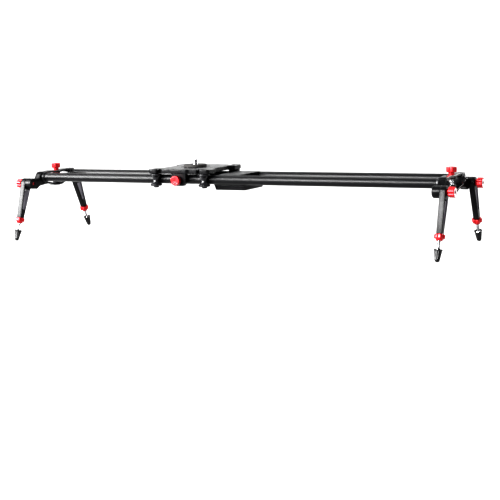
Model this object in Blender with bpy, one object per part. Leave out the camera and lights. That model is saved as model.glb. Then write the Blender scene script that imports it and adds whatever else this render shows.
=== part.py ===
"""Camera slider: two carbon-fibre tubes, a carriage on U-groove rollers and folding legs.

The world frame has X along the tubes, -Y towards the operator and Z up. The origin lies on the floor
under the middle of the rail. Lengths are in metres.
"""
from math import asin, atan2, cos, pi, radians, sin, sqrt

import bmesh
import bpy
from mathutils import Matrix, Vector

# Clearance kept between pieces that touch
GAP = 0.0003

# Rail tubes
TUBE_RADIUS = 0.008
TUBE_WALL = 0.0014
TUBE_SPACING = 0.082
TUBE_HALF_LENGTH = 0.3957
PLUG_LENGTH = 0.022

# End bracket: sockets for the tubes, joined by an arched bridge
BRACKET_INNER_X = 0.382
BRACKET_OUTER_X = 0.3983
BRACKET_CENTRE_X = 0.391
SOCKET_RADIUS = 0.0104
BRIDGE_TOP = 0.0095
BRIDGE_RISE = 0.0018
BRIDGE_THICKNESS = 0.0042
BOSS_RADIUS = 0.0072
BOSS_SEAT = 0.0088

# Leg yoke under each bracket
YOKE_INNER_X = 0.3855
YOKE_OUTER_X = 0.3985
YOKE_BOTTOM = -0.0186
PIVOT_Y = 0.0755
PIVOT_DROP = 0.0093
BARREL_RADIUS = 0.0098

# Legs
LEG_WIDTH = 0.0094
LEG_LENGTH = 0.066
LEG_FOOT_HALF_DEPTH = 0.0047
LEG_POCKET_DEPTH = 0.0016
LEG_RIM = 0.0023
LEG_SPLAY = radians(20.2)
WINDOW_TOP = 0.0114
WINDOW_HEIGHT = 0.0027

# Threads and fasteners
STUD_RADIUS = 0.003
SMALL_SHANK_RADIUS = 0.0024
BORE_CLEARANCE = 0.0003

# Lobed red knobs
LOBES = 6
KNOB_RADIUS = 0.0086
LOBE_DEPTH = 0.0014

# Foot rod and its rubber boot, measured from the leg's pivot
ROD_TOP = 0.0398
NUT_BOTTOM = 0.076
BOOT_TOP = 0.089
BOOT_RADIUS = 0.00665
BALL_DISTANCE = 0.1048
BALL_RADIUS = 0.0042

# Carriage
CARRIAGE_X = -0.080
PLATE_HALF_LENGTH = 0.061
PLATE_HALF_WIDTH = 0.062
PLATE_BOTTOM = 0.0112
PLATE_TOP = 0.0187
ROLLER_X = 0.049
ROLLER_Y = 0.0545
ROLLER_HALF_HEIGHT = 0.0107
ROLLER_FLANGE_RADIUS = 0.0102
ROLLER_GROOVE_RADIUS = 0.0083
BEARING_RADIUS = 0.005
BEARING_WIDTH = 0.004
BEARING_INSET = 0.0011
SLEEVE_RADIUS = 0.003
PAD_RADIUS = 0.0203
PAD_TOP = 0.0232
CAMERA_THREAD_RADIUS = 0.0047
CAMERA_STUD_TOP = 0.032

# Brake
BRAKE_HALF_LENGTH = 0.0147
BRAKE_OUTER_Y = -0.060
BRAKE_INNER_Y = -0.051
BRAKE_BOTTOM = -0.010
BRAKE_PAD_RADIUS = 0.0036
BRAKE_PAD_GAP = 0.0006

# Tripod support
SUPPORT_X = 0.008
SUPPORT_HALF_LENGTH = 0.029
SUPPORT_HALF_WIDTH = 0.033
SUPPORT_BOTTOM = -0.0185
CLAMP_BAR_HALF_LENGTH = 0.021
CLAMP_BAR_TOP = 0.0088
CLAMP_SCREW_X = 0.0145
TRIPOD_THREAD_RADIUS = 0.0048
TRIPOD_THREAD_DEPTH = 0.0095

# Screw heads, wells and holes
OVERRUN = 0.01
CAP_RADIUS = 0.0043
CAP_SEAT = 0.0041
CAP_TOP = 0.0083
CAP_WELL_RADIUS = 0.0046
CAP_WELL_FLOOR = 0.0038
CAP_SOCKET_RADIUS = 0.002
BLOCK_SCREW_RADIUS = 0.0016
BLOCK_SCREW_HOLE_RADIUS = 0.0019
BLOCK_SCREW_HEAD_RADIUS = 0.0029
BLOCK_SCREW_WELL_RADIUS = 0.0033
BLOCK_SCREW_WELL_DEPTH = 0.0034
BLOCK_SCREW_SOCKET_RADIUS = 0.0013
BLOCK_SCREW_LENGTH_IN_BLOCK = 0.0072
SPACER_RADIUS = 0.004
CAMERA_HEAD_RADIUS = 0.0086
CAMERA_HEAD_WELL_RADIUS = 0.0089
CAMERA_HEAD_WELL_DEPTH = 0.0035
BOSS_BOTTOM = 0.0035
BUTTON_HEAD_RADIUS = 0.0052
BUTTON_SOCKET_RADIUS = 0.0019
AXLE_HEAD_RADIUS = 0.0048
AXLE_HEAD_HEIGHT = 0.0027
AXLE_SOCKET_RADIUS = 0.0016

# Height of the tube axes, which puts the rubber feet on the floor
RAIL_Z = PIVOT_DROP + BALL_DISTANCE * cos(LEG_SPLAY) + BALL_RADIUS

# The matrices turn a shape made about Z so that its axis lies along X or Y
ALONG_X = Matrix(((0, 0, 1, 0), (1, 0, 0, 0), (0, 1, 0, 0), (0, 0, 0, 1)))
ALONG_Y = Matrix(((0, 1, 0, 0), (0, 0, 1, 0), (1, 0, 0, 0), (0, 0, 0, 1)))
MIRROR_X = Matrix.Scale(-1, 4, Vector((1, 0, 0)))
MIRROR_Y = Matrix.Scale(-1, 4, Vector((0, 1, 0)))

# Sides of round pieces: screws and their holes, rollers and boots, knobs and tubes, and the pad
SMALL_STEPS = 10
MEDIUM_STEPS = 12
ROUND_STEPS = 18
WIDE_STEPS = 24
WELD_DISTANCE = 0.000002

MATERIAL_VALUES = {
    "carbon_fibre": ((0.035, 0.035, 0.038), 0.32, 0.0),
    "black_anodised": ((0.03, 0.03, 0.033), 0.38, 0.6),
    "red_anodised": ((0.62, 0.02, 0.03), 0.28, 0.7),
    "steel": ((0.62, 0.62, 0.63), 0.22, 1.0),
    "chrome": ((0.8, 0.8, 0.82), 0.08, 1.0),
    "black_steel": ((0.05, 0.05, 0.05), 0.35, 0.9),
    "black_rubber": ((0.02, 0.02, 0.02), 0.75, 0.0),
    "roller_nylon": ((0.03, 0.03, 0.032), 0.3, 0.0),
}


def material(name):
    """Return the named material, made on first use."""
    if name in bpy.data.materials:
        return bpy.data.materials[name]
    colour, roughness, metallic = MATERIAL_VALUES[name]
    made = bpy.data.materials.new(name)
    made.use_nodes = True
    shader = made.node_tree.nodes["Principled BSDF"]
    shader.inputs["Base Color"].default_value = (*colour, 1)
    shader.inputs["Roughness"].default_value = roughness
    shader.inputs["Metallic"].default_value = metallic
    return made


def mesh_object(name, points, faces):
    """Make a mesh object from points and faces."""
    mesh = bpy.data.meshes.new(name)
    used = sorted({corner for face in faces for corner in face})
    places = {corner: i for i, corner in enumerate(used)}
    mesh.from_pydata([points[i] for i in used], [], [[places[c] for c in face] for face in faces])
    made = bpy.data.objects.new(name, mesh)
    bpy.context.collection.objects.link(made)
    return made


def transform(piece, matrix):
    """Move an object's mesh by a matrix, and keep its faces pointing out."""
    piece.data.transform(matrix)
    if matrix.determinant() < 0:
        piece.data.flip_normals()
    return piece


def scallop(angle):
    """Depth of the flutes around a knob: 0 on a lobe, 1 in a valley."""
    return (0.5 - 0.5 * cos(LOBES * angle)) ** 1.5


def turned(profile, steps=ROUND_STEPS, closed=False):
    """Make a solid of revolution about Z.

    The profile runs anticlockwise in the (radius, height) half plane, so an outer wall runs up. A third
    number on a point is the depth of the knob's flutes there. A closed profile is a ring, and an open
    one starts and ends on the axis.
    """
    points = []
    rows = []
    for radius, height, *flute in profile:
        depth = flute[0] if flute else 0.0
        if radius == 0.0:
            rows.append([len(points)] * steps)
            points.append((0.0, 0.0, height))
            continue
        rows.append(list(range(len(points), len(points) + steps)))
        for step in range(steps):
            angle = 2 * pi * step / steps
            reach = radius - depth * scallop(angle)
            points.append((reach * cos(angle), reach * sin(angle), height))
    pairs = list(zip(rows, rows[1:]))
    faces = []
    if closed:
        pairs.append((rows[-1], rows[0]))
    if profile[0][0] == 0.0 and profile[0][1] == profile[1][1]:
        faces.append(rows[1][::-1])
        pairs = pairs[1:]
    if profile[-1][0] == 0.0 and profile[-1][1] == profile[-2][1]:
        faces.append(rows[-2])
        pairs = pairs[:-1]
    for low, high in pairs:
        for step in range(steps):
            after = (step + 1) % steps
            corners = [low[step], low[after], high[after], high[step]]
            faces.append([c for i, c in enumerate(corners) if c != corners[i - 1]])
    return mesh_object("turned", points, faces)


def rod(radius, low, high, steps=ROUND_STEPS):
    """Make a plain round bar about Z."""
    return turned([(0.0, low), (radius, low), (radius, high), (0.0, high)], steps)


def shank(radius, low, high, chamfer):
    """Make a screw's shank about Z, chamfered at both ends."""
    profile = [
        (0.0, low),
        (radius - chamfer, low),
        (radius, low + chamfer),
        (radius, high - chamfer),
        (radius - chamfer, high),
        (0.0, high),
    ]
    return turned(profile, SMALL_STEPS)


def prism(outline, low, high):
    """Extrude an anticlockwise outline along Z."""
    count = len(outline)
    points = [(u, v, low) for u, v in outline] + [(u, v, high) for u, v in outline]
    faces = [list(range(count - 1, -1, -1)), list(range(count, 2 * count))]
    for i in range(count):
        after = (i + 1) % count
        faces.append([i, after, after + count, i + count])
    return mesh_object("prism", points, faces)


def arc(centre, radius, start, end, steps):
    """Points on an arc, both ends included; angles in degrees."""
    points = []
    for step in range(steps + 1):
        angle = radians(start + (end - start) * step / steps)
        points.append((centre[0] + radius * cos(angle), centre[1] + radius * sin(angle)))
    return points


def rounded(corners, steps=3):
    """Round the corners (u, v, radius) of an outline with tangent arcs."""
    points = []
    for i, (u, v, radius) in enumerate(corners):
        here = Vector((u, v))
        before = (Vector(corners[i - 1][:2]) - here).normalized()
        after = (Vector(corners[(i + 1) % len(corners)][:2]) - here).normalized()
        if radius == 0.0:
            points.append(tuple(here))
            continue
        half = before.angle(after) / 2
        centre = here + (before + after).normalized() * (radius / sin(half))
        first = here + before * (radius * cos(half) / sin(half)) - centre
        last = here + after * (radius * cos(half) / sin(half)) - centre
        start = atan2(first.y, first.x)
        sweep = (atan2(last.y, last.x) - start + pi) % (2 * pi) - pi
        for step in range(steps + 1):
            angle = start + sweep * step / steps
            points.append((centre.x + radius * cos(angle), centre.y + radius * sin(angle)))
    return points


def welded(mesh):
    """Close the hairline cracks that a cut leaves between points that should be one."""
    shape = bmesh.new()
    shape.from_mesh(mesh)
    bmesh.ops.remove_doubles(shape, verts=shape.verts, dist=WELD_DISTANCE)
    bmesh.ops.dissolve_degenerate(shape, edges=shape.edges, dist=WELD_DISTANCE)
    shape.to_mesh(mesh)
    shape.free()
    return mesh


def boolean(base, tools, operation):
    """Join tools to the base, or cut them from it, and remove them."""
    for tool in tools:
        modifier = base.modifiers.new("boolean", "BOOLEAN")
        modifier.operation = operation
        modifier.solver = "EXACT"
        modifier.object = tool
    graph = bpy.context.evaluated_depsgraph_get()
    mesh = bpy.data.meshes.new_from_object(base.evaluated_get(graph))
    base.modifiers.clear()
    base.data = welded(mesh)
    for tool in tools:
        bpy.data.objects.remove(tool)
    return base


def finish(piece, name, material_name, parent=None, location=(0, 0, 0)):
    """Name a piece, give it its material and place it."""
    piece.name = name
    piece.data.name = name
    piece.data.materials.clear()
    piece.data.materials.append(material(material_name))
    piece.data.shade_smooth()
    piece.data.set_sharp_from_angle(angle=radians(35))
    piece.location = location
    if parent:
        piece.parent = parent
    return piece


def empty(name, location, rotation=(0, 0, 0), parent=None):
    """Make an empty that marks an assembly's origin."""
    made = bpy.data.objects.new(name, None)
    bpy.context.collection.objects.link(made)
    made.location = location
    made.rotation_euler = rotation
    made.empty_display_size = 0.01
    made.parent = parent
    return made


def shift(x=0.0, y=0.0, z=0.0):
    """Translation matrix."""
    return Matrix.Translation((x, y, z))


def knob_profile(neck_radius, neck, length, bore_radius, bore_depth, socket_radius, socket_depth):
    """Profile of a lobed knob that stands on its neck at height 0."""
    edge = 0.0011
    return [
        (0.0, bore_depth),
        (bore_radius, bore_depth),
        (bore_radius, 0.0),
        (neck_radius, 0.0),
        (neck_radius + 0.0004, neck),
        (KNOB_RADIUS - edge, neck + 0.0006, 0.6 * LOBE_DEPTH),
        (KNOB_RADIUS, neck + 0.0006 + edge, LOBE_DEPTH),
        (KNOB_RADIUS, length - edge, LOBE_DEPTH),
        (KNOB_RADIUS - edge, length, 0.6 * LOBE_DEPTH),
        (socket_radius, length),
        (socket_radius, length - socket_depth),
        (0.0, length - socket_depth),
    ]


def rail_tube():
    """Tube with a threaded plug glued into each end."""
    inner = TUBE_RADIUS - TUBE_WALL
    thread = STUD_RADIUS + BORE_CLEARANCE
    end = TUBE_HALF_LENGTH
    plug = end - PLUG_LENGTH
    profile = [
        (TUBE_RADIUS, -end),
        (TUBE_RADIUS, end),
        (thread, end),
        (thread, plug),
        (inner, plug),
        (inner, -plug),
        (thread, -plug),
        (thread, -end),
    ]
    return turned(profile, closed=True)


def make_tubes():
    """The two rail tubes."""
    for name, side in (("front", -1), ("back", 1)):
        tube = transform(rail_tube(), ALONG_X)
        finish(tube, name + "_tube", "carbon_fibre", None, (0, side * TUBE_SPACING / 2, RAIL_Z))


def tube_screw():
    """Button-head screw that holds the bracket on the tube's plug."""
    head = BRACKET_OUTER_X + GAP
    profile = [
        (0.0, TUBE_HALF_LENGTH - PLUG_LENGTH + 0.002),
        (STUD_RADIUS, TUBE_HALF_LENGTH - PLUG_LENGTH + 0.002),
        (STUD_RADIUS, head),
        (BUTTON_HEAD_RADIUS, head),
        (0.0047, head + 0.0018),
        (0.0028, head + 0.0029),
        (BUTTON_SOCKET_RADIUS, head + 0.0029),
        (BUTTON_SOCKET_RADIUS, head + 0.001),
        (0.0, head + 0.001),
    ]
    return transform(turned(profile, SMALL_STEPS), ALONG_X)


def bridge_height(y):
    """Top of the bracket's arch: highest near the sockets, lower in the middle."""
    share = min(abs(y) / (TUBE_SPACING / 2), 1.0)
    return BRIDGE_TOP + BRIDGE_RISE * sin(pi * share) ** 2 * share ** 0.5


def end_bracket():
    """Casting that holds both tube ends, with a bridge over the middle."""
    half = TUBE_SPACING / 2
    end = TUBE_HALF_LENGTH
    socket_profile = [
        (0.0, BRACKET_INNER_X),
        (SOCKET_RADIUS - 0.0009, BRACKET_INNER_X),
        (SOCKET_RADIUS, BRACKET_INNER_X + 0.004),
        (SOCKET_RADIUS, BRACKET_OUTER_X - 0.0008),
        (SOCKET_RADIUS - 0.0008, BRACKET_OUTER_X),
        (0.0, BRACKET_OUTER_X),
    ]
    steps = 10
    tops = [-half + 2 * half * i / steps for i in range(steps, -1, -1)]
    outline = [(y, bridge_height(y)) for y in tops]
    lows = [-half + 0.008 + (2 * half - 0.016) * i / steps for i in range(steps + 1)]
    outline += [(y, bridge_height(y) - BRIDGE_THICKNESS) for y in lows]
    bridge = transform(prism(outline, BRACKET_INNER_X + 0.0026, BRACKET_OUTER_X - 0.0012), ALONG_X)
    boss = rod(BOSS_RADIUS, BOSS_BOTTOM, BOSS_SEAT)
    transform(boss, shift(x=BRACKET_CENTRE_X))
    sockets = [
        transform(turned(socket_profile), shift(y=side * half) @ ALONG_X) for side in (-1, 1)
    ]
    seat = rod(BOSS_RADIUS - 0.0013, BOSS_SEAT, BOSS_SEAT + OVERRUN)
    transform(seat, shift(x=BRACKET_CENTRE_X))
    cutters = [seat]
    stud_hole = rod(STUD_RADIUS + BORE_CLEARANCE, -0.02, 0.03, SMALL_STEPS)
    cutters.append(transform(stud_hole, shift(x=BRACKET_CENTRE_X)))
    for side in (-1, 1):
        bore = rod(TUBE_RADIUS + GAP, BRACKET_INNER_X - OVERRUN, end + GAP)
        hole = rod(STUD_RADIUS + BORE_CLEARANCE, end - 0.005, BRACKET_OUTER_X + OVERRUN, SMALL_STEPS)
        cutters += [transform(tool, shift(y=side * half) @ ALONG_X) for tool in (bore, hole)]
    return boolean(boolean(bridge, [boss, *sockets], "UNION"), cutters, "DIFFERENCE")


def yoke_arm(side):
    """One side of the yoke: from the centre boss, under the socket, to the barrel."""
    corners = [
        (0.004, -0.0142, 0),
        (0.006, YOKE_BOTTOM + 0.0004, 0),
        (0.0105, YOKE_BOTTOM + 0.0004, 0),
        (0.019, -0.0152, 0.004),
        (0.029, -0.0131, 0.004),
        (0.046, -0.0142, 0.004),
        (0.057, -0.0152, 0.006),
        (0.066, -0.0203, 0.003),
        (0.0752, -0.0186, 0),
        (0.0752, -0.0004, 0),
        (0.066, -0.0012, 0.003),
        (0.0585, -0.0022, 0.004),
        (0.053, 0.0062, 0.003),
        (0.0478, 0.0104, 0.001),
        (0.0455, 0.0096, 0),
        (0.042, 0.0, 0),
        (0.036, -0.0096, 0.002),
        (0.028, -0.0101, 0.003),
        (0.0185, -0.0122, 0.004),
        (0.0105, -0.0142, 0),
    ]
    arm = transform(prism(rounded(corners, 1), YOKE_INNER_X + 0.0006, YOKE_OUTER_X - 0.0006), ALONG_X)
    return transform(arm, MIRROR_Y) if side < 0 else arm


def leg_yoke():
    """Cradle that hugs the sockets from below and carries the two leg barrels."""
    boss = turned(
        [
            (0.0, YOKE_BOTTOM),
            (BOSS_RADIUS - 0.0006, YOKE_BOTTOM),
            (BOSS_RADIUS, YOKE_BOTTOM + 0.0006),
            (BOSS_RADIUS, -0.0068),
            (BOSS_RADIUS - 0.0008, -0.006),
            (0.0, -0.006),
        ]
    )
    transform(boss, shift(x=BRACKET_CENTRE_X))
    bevel = 0.0015
    barrel_profile = [
        (0.0, YOKE_INNER_X),
        (BARREL_RADIUS - bevel, YOKE_INNER_X),
        (BARREL_RADIUS, YOKE_INNER_X + bevel),
        (BARREL_RADIUS, YOKE_OUTER_X),
        (0.0, YOKE_OUTER_X),
    ]
    parts = [yoke_arm(-1), yoke_arm(1)]
    for side in (-1, 1):
        parts.append(transform(turned(barrel_profile), shift(y=side * PIVOT_Y, z=-PIVOT_DROP) @ ALONG_X))
    stud_hole = rod(STUD_RADIUS + BORE_CLEARANCE, -0.0165, 0.01, SMALL_STEPS)
    cutters = [transform(stud_hole, shift(x=BRACKET_CENTRE_X))]
    for side in (-1, 1):
        hole = rod(STUD_RADIUS + BORE_CLEARANCE, YOKE_INNER_X - 0.01, YOKE_OUTER_X + 0.01, SMALL_STEPS)
        cutters.append(transform(hole, shift(y=side * PIVOT_Y, z=-PIVOT_DROP) @ ALONG_X))
        nest = rod(SOCKET_RADIUS + GAP, YOKE_INNER_X - 0.01, YOKE_OUTER_X + 0.01)
        cutters.append(transform(nest, shift(y=side * TUBE_SPACING / 2) @ ALONG_X))
    return boolean(boolean(boss, parts, "UNION"), cutters, "DIFFERENCE")


def thumbscrew():
    """Lobed head that clamps the yoke; its foot stands at height 0."""
    profile = knob_profile(0.0042, 0.0048, 0.0136, STUD_RADIUS + GAP, 0.009, 0.0032, 0.003)
    profile[4] = (0.0054, 0.0048)
    return turned(profile)


def make_end(name, side):
    """One end of the rail: bracket, yoke, tube screws and the thumbscrew."""
    origin = empty(name + "_end", (0, 0, RAIL_Z))
    for make, label in ((end_bracket, "_end_bracket"), (leg_yoke, "_leg_yoke")):
        piece = make() if side > 0 else transform(make(), MIRROR_X)
        finish(piece, name + label, "black_anodised", origin)
    for row, tube_side in (("_front", -1), ("_back", 1)):
        screw = tube_screw() if side > 0 else transform(tube_screw(), MIRROR_X)
        place = (0, tube_side * TUBE_SPACING / 2, 0)
        finish(screw, name + row + "_tube_screw", "black_steel", origin, place)
    clamp = empty(name + "_clamp", (side * BRACKET_CENTRE_X, 0, 0), parent=origin)
    head_place = (0, 0, BOSS_SEAT + GAP)
    finish(thumbscrew(), name + "_thumbscrew", "red_anodised", clamp, head_place)
    stud = shank(STUD_RADIUS, -0.0162, BOSS_SEAT + 0.0086, 0.0004)
    finish(stud, name + "_thumbscrew_stud", "steel", clamp)


def leg_half_depth(distance):
    """Half the leg's depth at a distance below the pivot."""
    lean = asin((BARREL_RADIUS - LEG_FOOT_HALF_DEPTH) / LEG_LENGTH)
    return (BARREL_RADIUS - distance * sin(lean)) / cos(lean)


def leg_panel(top, bottom, inset):
    """Four-sided outline inside the leg, as (depth, height) points."""
    wide = leg_half_depth(top) - inset
    narrow = leg_half_depth(bottom) - inset
    return [(-narrow, -bottom), (narrow, -bottom), (wide, -top), (-wide, -top)]


def leg():
    """Tapered leg with an ear at the pivot, hollowed sides and a window under the ear."""
    ear = arc((0, 0), BARREL_RADIUS, 0, 180, 9)
    foot = leg_half_depth(LEG_LENGTH)
    outline = ear + [(-foot, -LEG_LENGTH), (foot, -LEG_LENGTH)]
    half = LEG_WIDTH / 2
    body = transform(prism(outline, -half, half), ALONG_X)
    panel = leg_panel(WINDOW_TOP, 0.050, LEG_RIM)
    floor = half - LEG_POCKET_DEPTH
    cutters = [transform(prism(panel, low, low + 0.01), ALONG_X) for low in (floor, -floor - 0.01)]
    window = leg_panel(WINDOW_TOP + 0.0001, WINDOW_TOP + WINDOW_HEIGHT, LEG_RIM + 0.0006)
    cutters.append(transform(prism(window, -0.02, 0.02), ALONG_X))
    cutters.append(transform(rod(STUD_RADIUS + BORE_CLEARANCE, -0.02, 0.02, SMALL_STEPS), ALONG_X))
    cutters.append(rod(SMALL_SHANK_RADIUS + BORE_CLEARANCE, -LEG_LENGTH - 0.01, -0.0272, SMALL_STEPS))
    return boolean(body, cutters, "DIFFERENCE")


def leg_knob():
    """Lobed clamp knob on its stud: the knob stands out along Z from height 0, the stud goes in."""
    reach = LEG_WIDTH + 2 * GAP + YOKE_OUTER_X - YOKE_INNER_X - 0.001
    head = knob_profile(0.0054, 0.0022, 0.0125, STUD_RADIUS, 0.0, 0.0027, 0.002)
    stud = [(0.0, -reach), (STUD_RADIUS - 0.0004, -reach), (STUD_RADIUS, 0.0004 - reach)]
    return turned(stud + head[2:])


def lock_nut():
    """Lobed nut on the foot rod, with a cone below it."""
    bore = SMALL_SHANK_RADIUS + BORE_CLEARANCE
    top = -LEG_LENGTH - GAP
    edge = 0.0009
    profile = [
        (bore, -NUT_BOTTOM),
        (0.0046, -NUT_BOTTOM),
        (0.0062, -NUT_BOTTOM + 0.0032),
        (KNOB_RADIUS - edge, -NUT_BOTTOM + 0.0036, 0.6 * LOBE_DEPTH),
        (KNOB_RADIUS, -NUT_BOTTOM + 0.0036 + edge, LOBE_DEPTH),
        (KNOB_RADIUS, top - edge, LOBE_DEPTH),
        (KNOB_RADIUS - edge, top, 0.6 * LOBE_DEPTH),
        (bore, top),
    ]
    return turned(profile, closed=True)


def foot_rod():
    """Threaded rod with a flange and a spike at its foot."""
    radius = SMALL_SHANK_RADIUS
    profile = [
        (0.0, -0.1025),
        (0.0005, -0.1023),
        (0.0025, -0.0940),
        (0.0051, -0.0929),
        (0.0051, -0.0920),
        (radius, -0.0898),
        (radius, -ROD_TOP - 0.0004),
        (radius - 0.0004, -ROD_TOP),
        (0.0, -ROD_TOP),
    ]
    return turned(profile, SMALL_STEPS)


def foot_boot():
    """Rubber cup over the spike, with a round sole."""
    profile = [(0.0, -BALL_DISTANCE - BALL_RADIUS)]
    for angle in (LEG_SPLAY, radians(45), radians(72)):
        height = -BALL_DISTANCE - BALL_RADIUS * cos(angle)
        profile.append((BALL_RADIUS * sin(angle), height))
    profile += [
        (BOOT_RADIUS - 0.0004, -BOOT_TOP - 0.0022),
        (BOOT_RADIUS, -BOOT_TOP - 0.0012),
        (BOOT_RADIUS, -BOOT_TOP),
        (BOOT_RADIUS - 0.0008, -BOOT_TOP),
        (0.0055, -0.0912),
        (0.0055, -0.0932),
        (0.0029, -0.0944),
        (0.0009, -0.1027),
        (0.0, -0.1030),
    ]
    return turned(profile, MEDIUM_STEPS)


def make_leg(name, end, side):
    """One leg, with its clamp knob, foot rod, boot and lock nut."""
    centre_x = YOKE_OUTER_X + GAP + LEG_WIDTH / 2
    pivot = empty(
        name + "_pivot", (end * centre_x, side * PIVOT_Y, RAIL_Z - PIVOT_DROP), (side * LEG_SPLAY, 0, 0)
    )
    finish(leg(), name + "_leg", "black_anodised", pivot)
    outward = ALONG_X if end > 0 else MIRROR_X @ ALONG_X
    knob = transform(leg_knob(), outward)
    knob_x = end * (LEG_WIDTH / 2 + GAP)
    finish(knob, name + "_leg_knob", "red_anodised", pivot, (knob_x, 0, 0))
    finish(foot_rod(), name + "_foot_rod", "chrome", pivot)
    finish(foot_boot(), name + "_foot_boot", "black_rubber", pivot)
    finish(lock_nut(), name + "_lock_nut", "red_anodised", pivot)


def support_outline():
    """Section of the tripod support: a block whose top grips the tubes from inside and below."""
    half = TUBE_SPACING / 2
    grip = arc((half, 0), TUBE_RADIUS + GAP, 260, 188, 4)
    right = [
        (SUPPORT_HALF_WIDTH, SUPPORT_BOTTOM),
        (SUPPORT_HALF_WIDTH, -0.0125),
        (grip[0][0], -0.0105),
        *grip,
    ]
    left = [(-y, z) for y, z in reversed(right)]
    return right + left


def clamp_bar_outline():
    """Section of the clamp bar: it grips the tubes from inside and above."""
    half = TUBE_SPACING / 2
    grip = arc((half, 0), TUBE_RADIUS + GAP, 176, 110, 4)
    right = [*grip, (grip[-1][0] - 0.0006, CLAMP_BAR_TOP)]
    left = [(-y, z) for y, z in reversed(right)]
    return right + left


def clamp_screw():
    """Cap screw that draws the clamp bar down onto the tubes."""
    profile = [
        (0.0, -0.012),
        (SMALL_SHANK_RADIUS, -0.012),
        (SMALL_SHANK_RADIUS, CAP_SEAT),
        (CAP_RADIUS, CAP_SEAT),
        (CAP_RADIUS, CAP_TOP),
        (CAP_SOCKET_RADIUS, CAP_TOP),
        (CAP_SOCKET_RADIUS, CAP_TOP - 0.0023),
        (0.0, CAP_TOP - 0.0023),
    ]
    return turned(profile, SMALL_STEPS)


def make_support():
    """Tripod support, the clamp bar over it and the screws that draw them together."""
    centre = empty("support_centre", (SUPPORT_X, 0, RAIL_Z))
    block = transform(prism(support_outline(), -SUPPORT_HALF_LENGTH, SUPPORT_HALF_LENGTH), ALONG_X)
    bar = transform(prism(clamp_bar_outline(), -CLAMP_BAR_HALF_LENGTH, CLAMP_BAR_HALF_LENGTH), ALONG_X)
    hole = SMALL_SHANK_RADIUS + BORE_CLEARANCE
    bore_top = SUPPORT_BOTTOM + TRIPOD_THREAD_DEPTH
    block_cutters = [rod(TRIPOD_THREAD_RADIUS, SUPPORT_BOTTOM - OVERRUN, bore_top)]
    bar_cutters = []
    for x in (-CLAMP_SCREW_X, CLAMP_SCREW_X):
        block_cutters.append(transform(rod(hole, -0.0125, 0.02, SMALL_STEPS), shift(x)))
        bar_cutters.append(transform(rod(hole, -0.02, 0.02, SMALL_STEPS), shift(x)))
        well = rod(CAP_WELL_RADIUS, CAP_WELL_FLOOR, CLAMP_BAR_TOP + OVERRUN, SMALL_STEPS)
        bar_cutters.append(transform(well, shift(x)))
    finish(boolean(block, block_cutters, "DIFFERENCE"), "tripod_support", "black_anodised", centre)
    finish(boolean(bar, bar_cutters, "DIFFERENCE"), "support_clamp_bar", "black_anodised", centre)
    for label, side in (("left", -1), ("right", 1)):
        name = label + "_clamp_screw"
        finish(clamp_screw(), name, "black_steel", centre, (side * CLAMP_SCREW_X, 0, 0))


def plate_outline():
    """Plan of the carriage plate: corner arms, narrow notches, a centre tab and waisted sides."""
    length = PLATE_HALF_LENGTH
    width = PLATE_HALF_WIDTH
    quarter = [
        (length - 0.010, 0.026, 0.006),
        (length, 0.034, 0.004),
        (length, width, 0.006),
        (0.043, width, 0.003),
        (0.043, 0.050, 0.0034),
        (0.036, 0.050, 0.0034),
        (0.036, 0.058, 0.002),
        (0.0205, 0.058, 0.002),
        (0.016, width, 0.002),
    ]
    right = quarter + [(-x, y, r) for x, y, r in reversed(quarter)]
    return right + [(-x, -y, r) for x, y, r in right]


def axle_places():
    """The four roller axles, as (x, y) from the carriage's centre."""
    return [(x, y) for x in (-ROLLER_X, ROLLER_X) for y in (-ROLLER_Y, ROLLER_Y)]


def brake_screw_places():
    """The two screws that hang the brake block from the plate."""
    return [(x, (BRAKE_OUTER_Y + BRAKE_INNER_Y) / 2) for x in (-0.0098, 0.0098)]


def carriage_plate():
    """Top plate with a spacer boss for each roller and holes for the screws."""
    plate = prism(rounded(plate_outline(), 2), PLATE_BOTTOM, PLATE_TOP)
    spacer_low = ROLLER_HALF_HEIGHT - BEARING_INSET + GAP
    spacers = [
        transform(rod(SPACER_RADIUS, spacer_low, 0.013, SMALL_STEPS), shift(x, y)) for x, y in axle_places()
    ]
    boolean(plate, spacers, "UNION")
    cutters = [
        rod(CAMERA_THREAD_RADIUS + GAP, PLATE_BOTTOM - 0.01, PLATE_TOP + 0.01),
        rod(CAMERA_HEAD_WELL_RADIUS, PLATE_BOTTOM - OVERRUN, PLATE_BOTTOM + CAMERA_HEAD_WELL_DEPTH),
    ]
    low = PLATE_BOTTOM - 0.01
    high = PLATE_TOP + 0.01
    hole = SMALL_SHANK_RADIUS + BORE_CLEARANCE
    for x, y in axle_places():
        cutters.append(transform(rod(hole, low, high, SMALL_STEPS), shift(x, y)))
    for x, y in brake_screw_places():
        cutters.append(transform(rod(BLOCK_SCREW_HOLE_RADIUS, low, high, SMALL_STEPS), shift(x, y)))
        well = rod(BLOCK_SCREW_WELL_RADIUS, PLATE_TOP - BLOCK_SCREW_WELL_DEPTH, high, SMALL_STEPS)
        cutters.append(transform(well, shift(x, y)))
    return boolean(plate, cutters, "DIFFERENCE")


def groove_radius(height):
    """Roller radius at a height: the groove clears the tube by a hair."""
    axis_to_tube = ROLLER_Y - TUBE_SPACING / 2
    return axis_to_tube - sqrt(ROLLER_GROOVE_RADIUS ** 2 - height ** 2)


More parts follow.
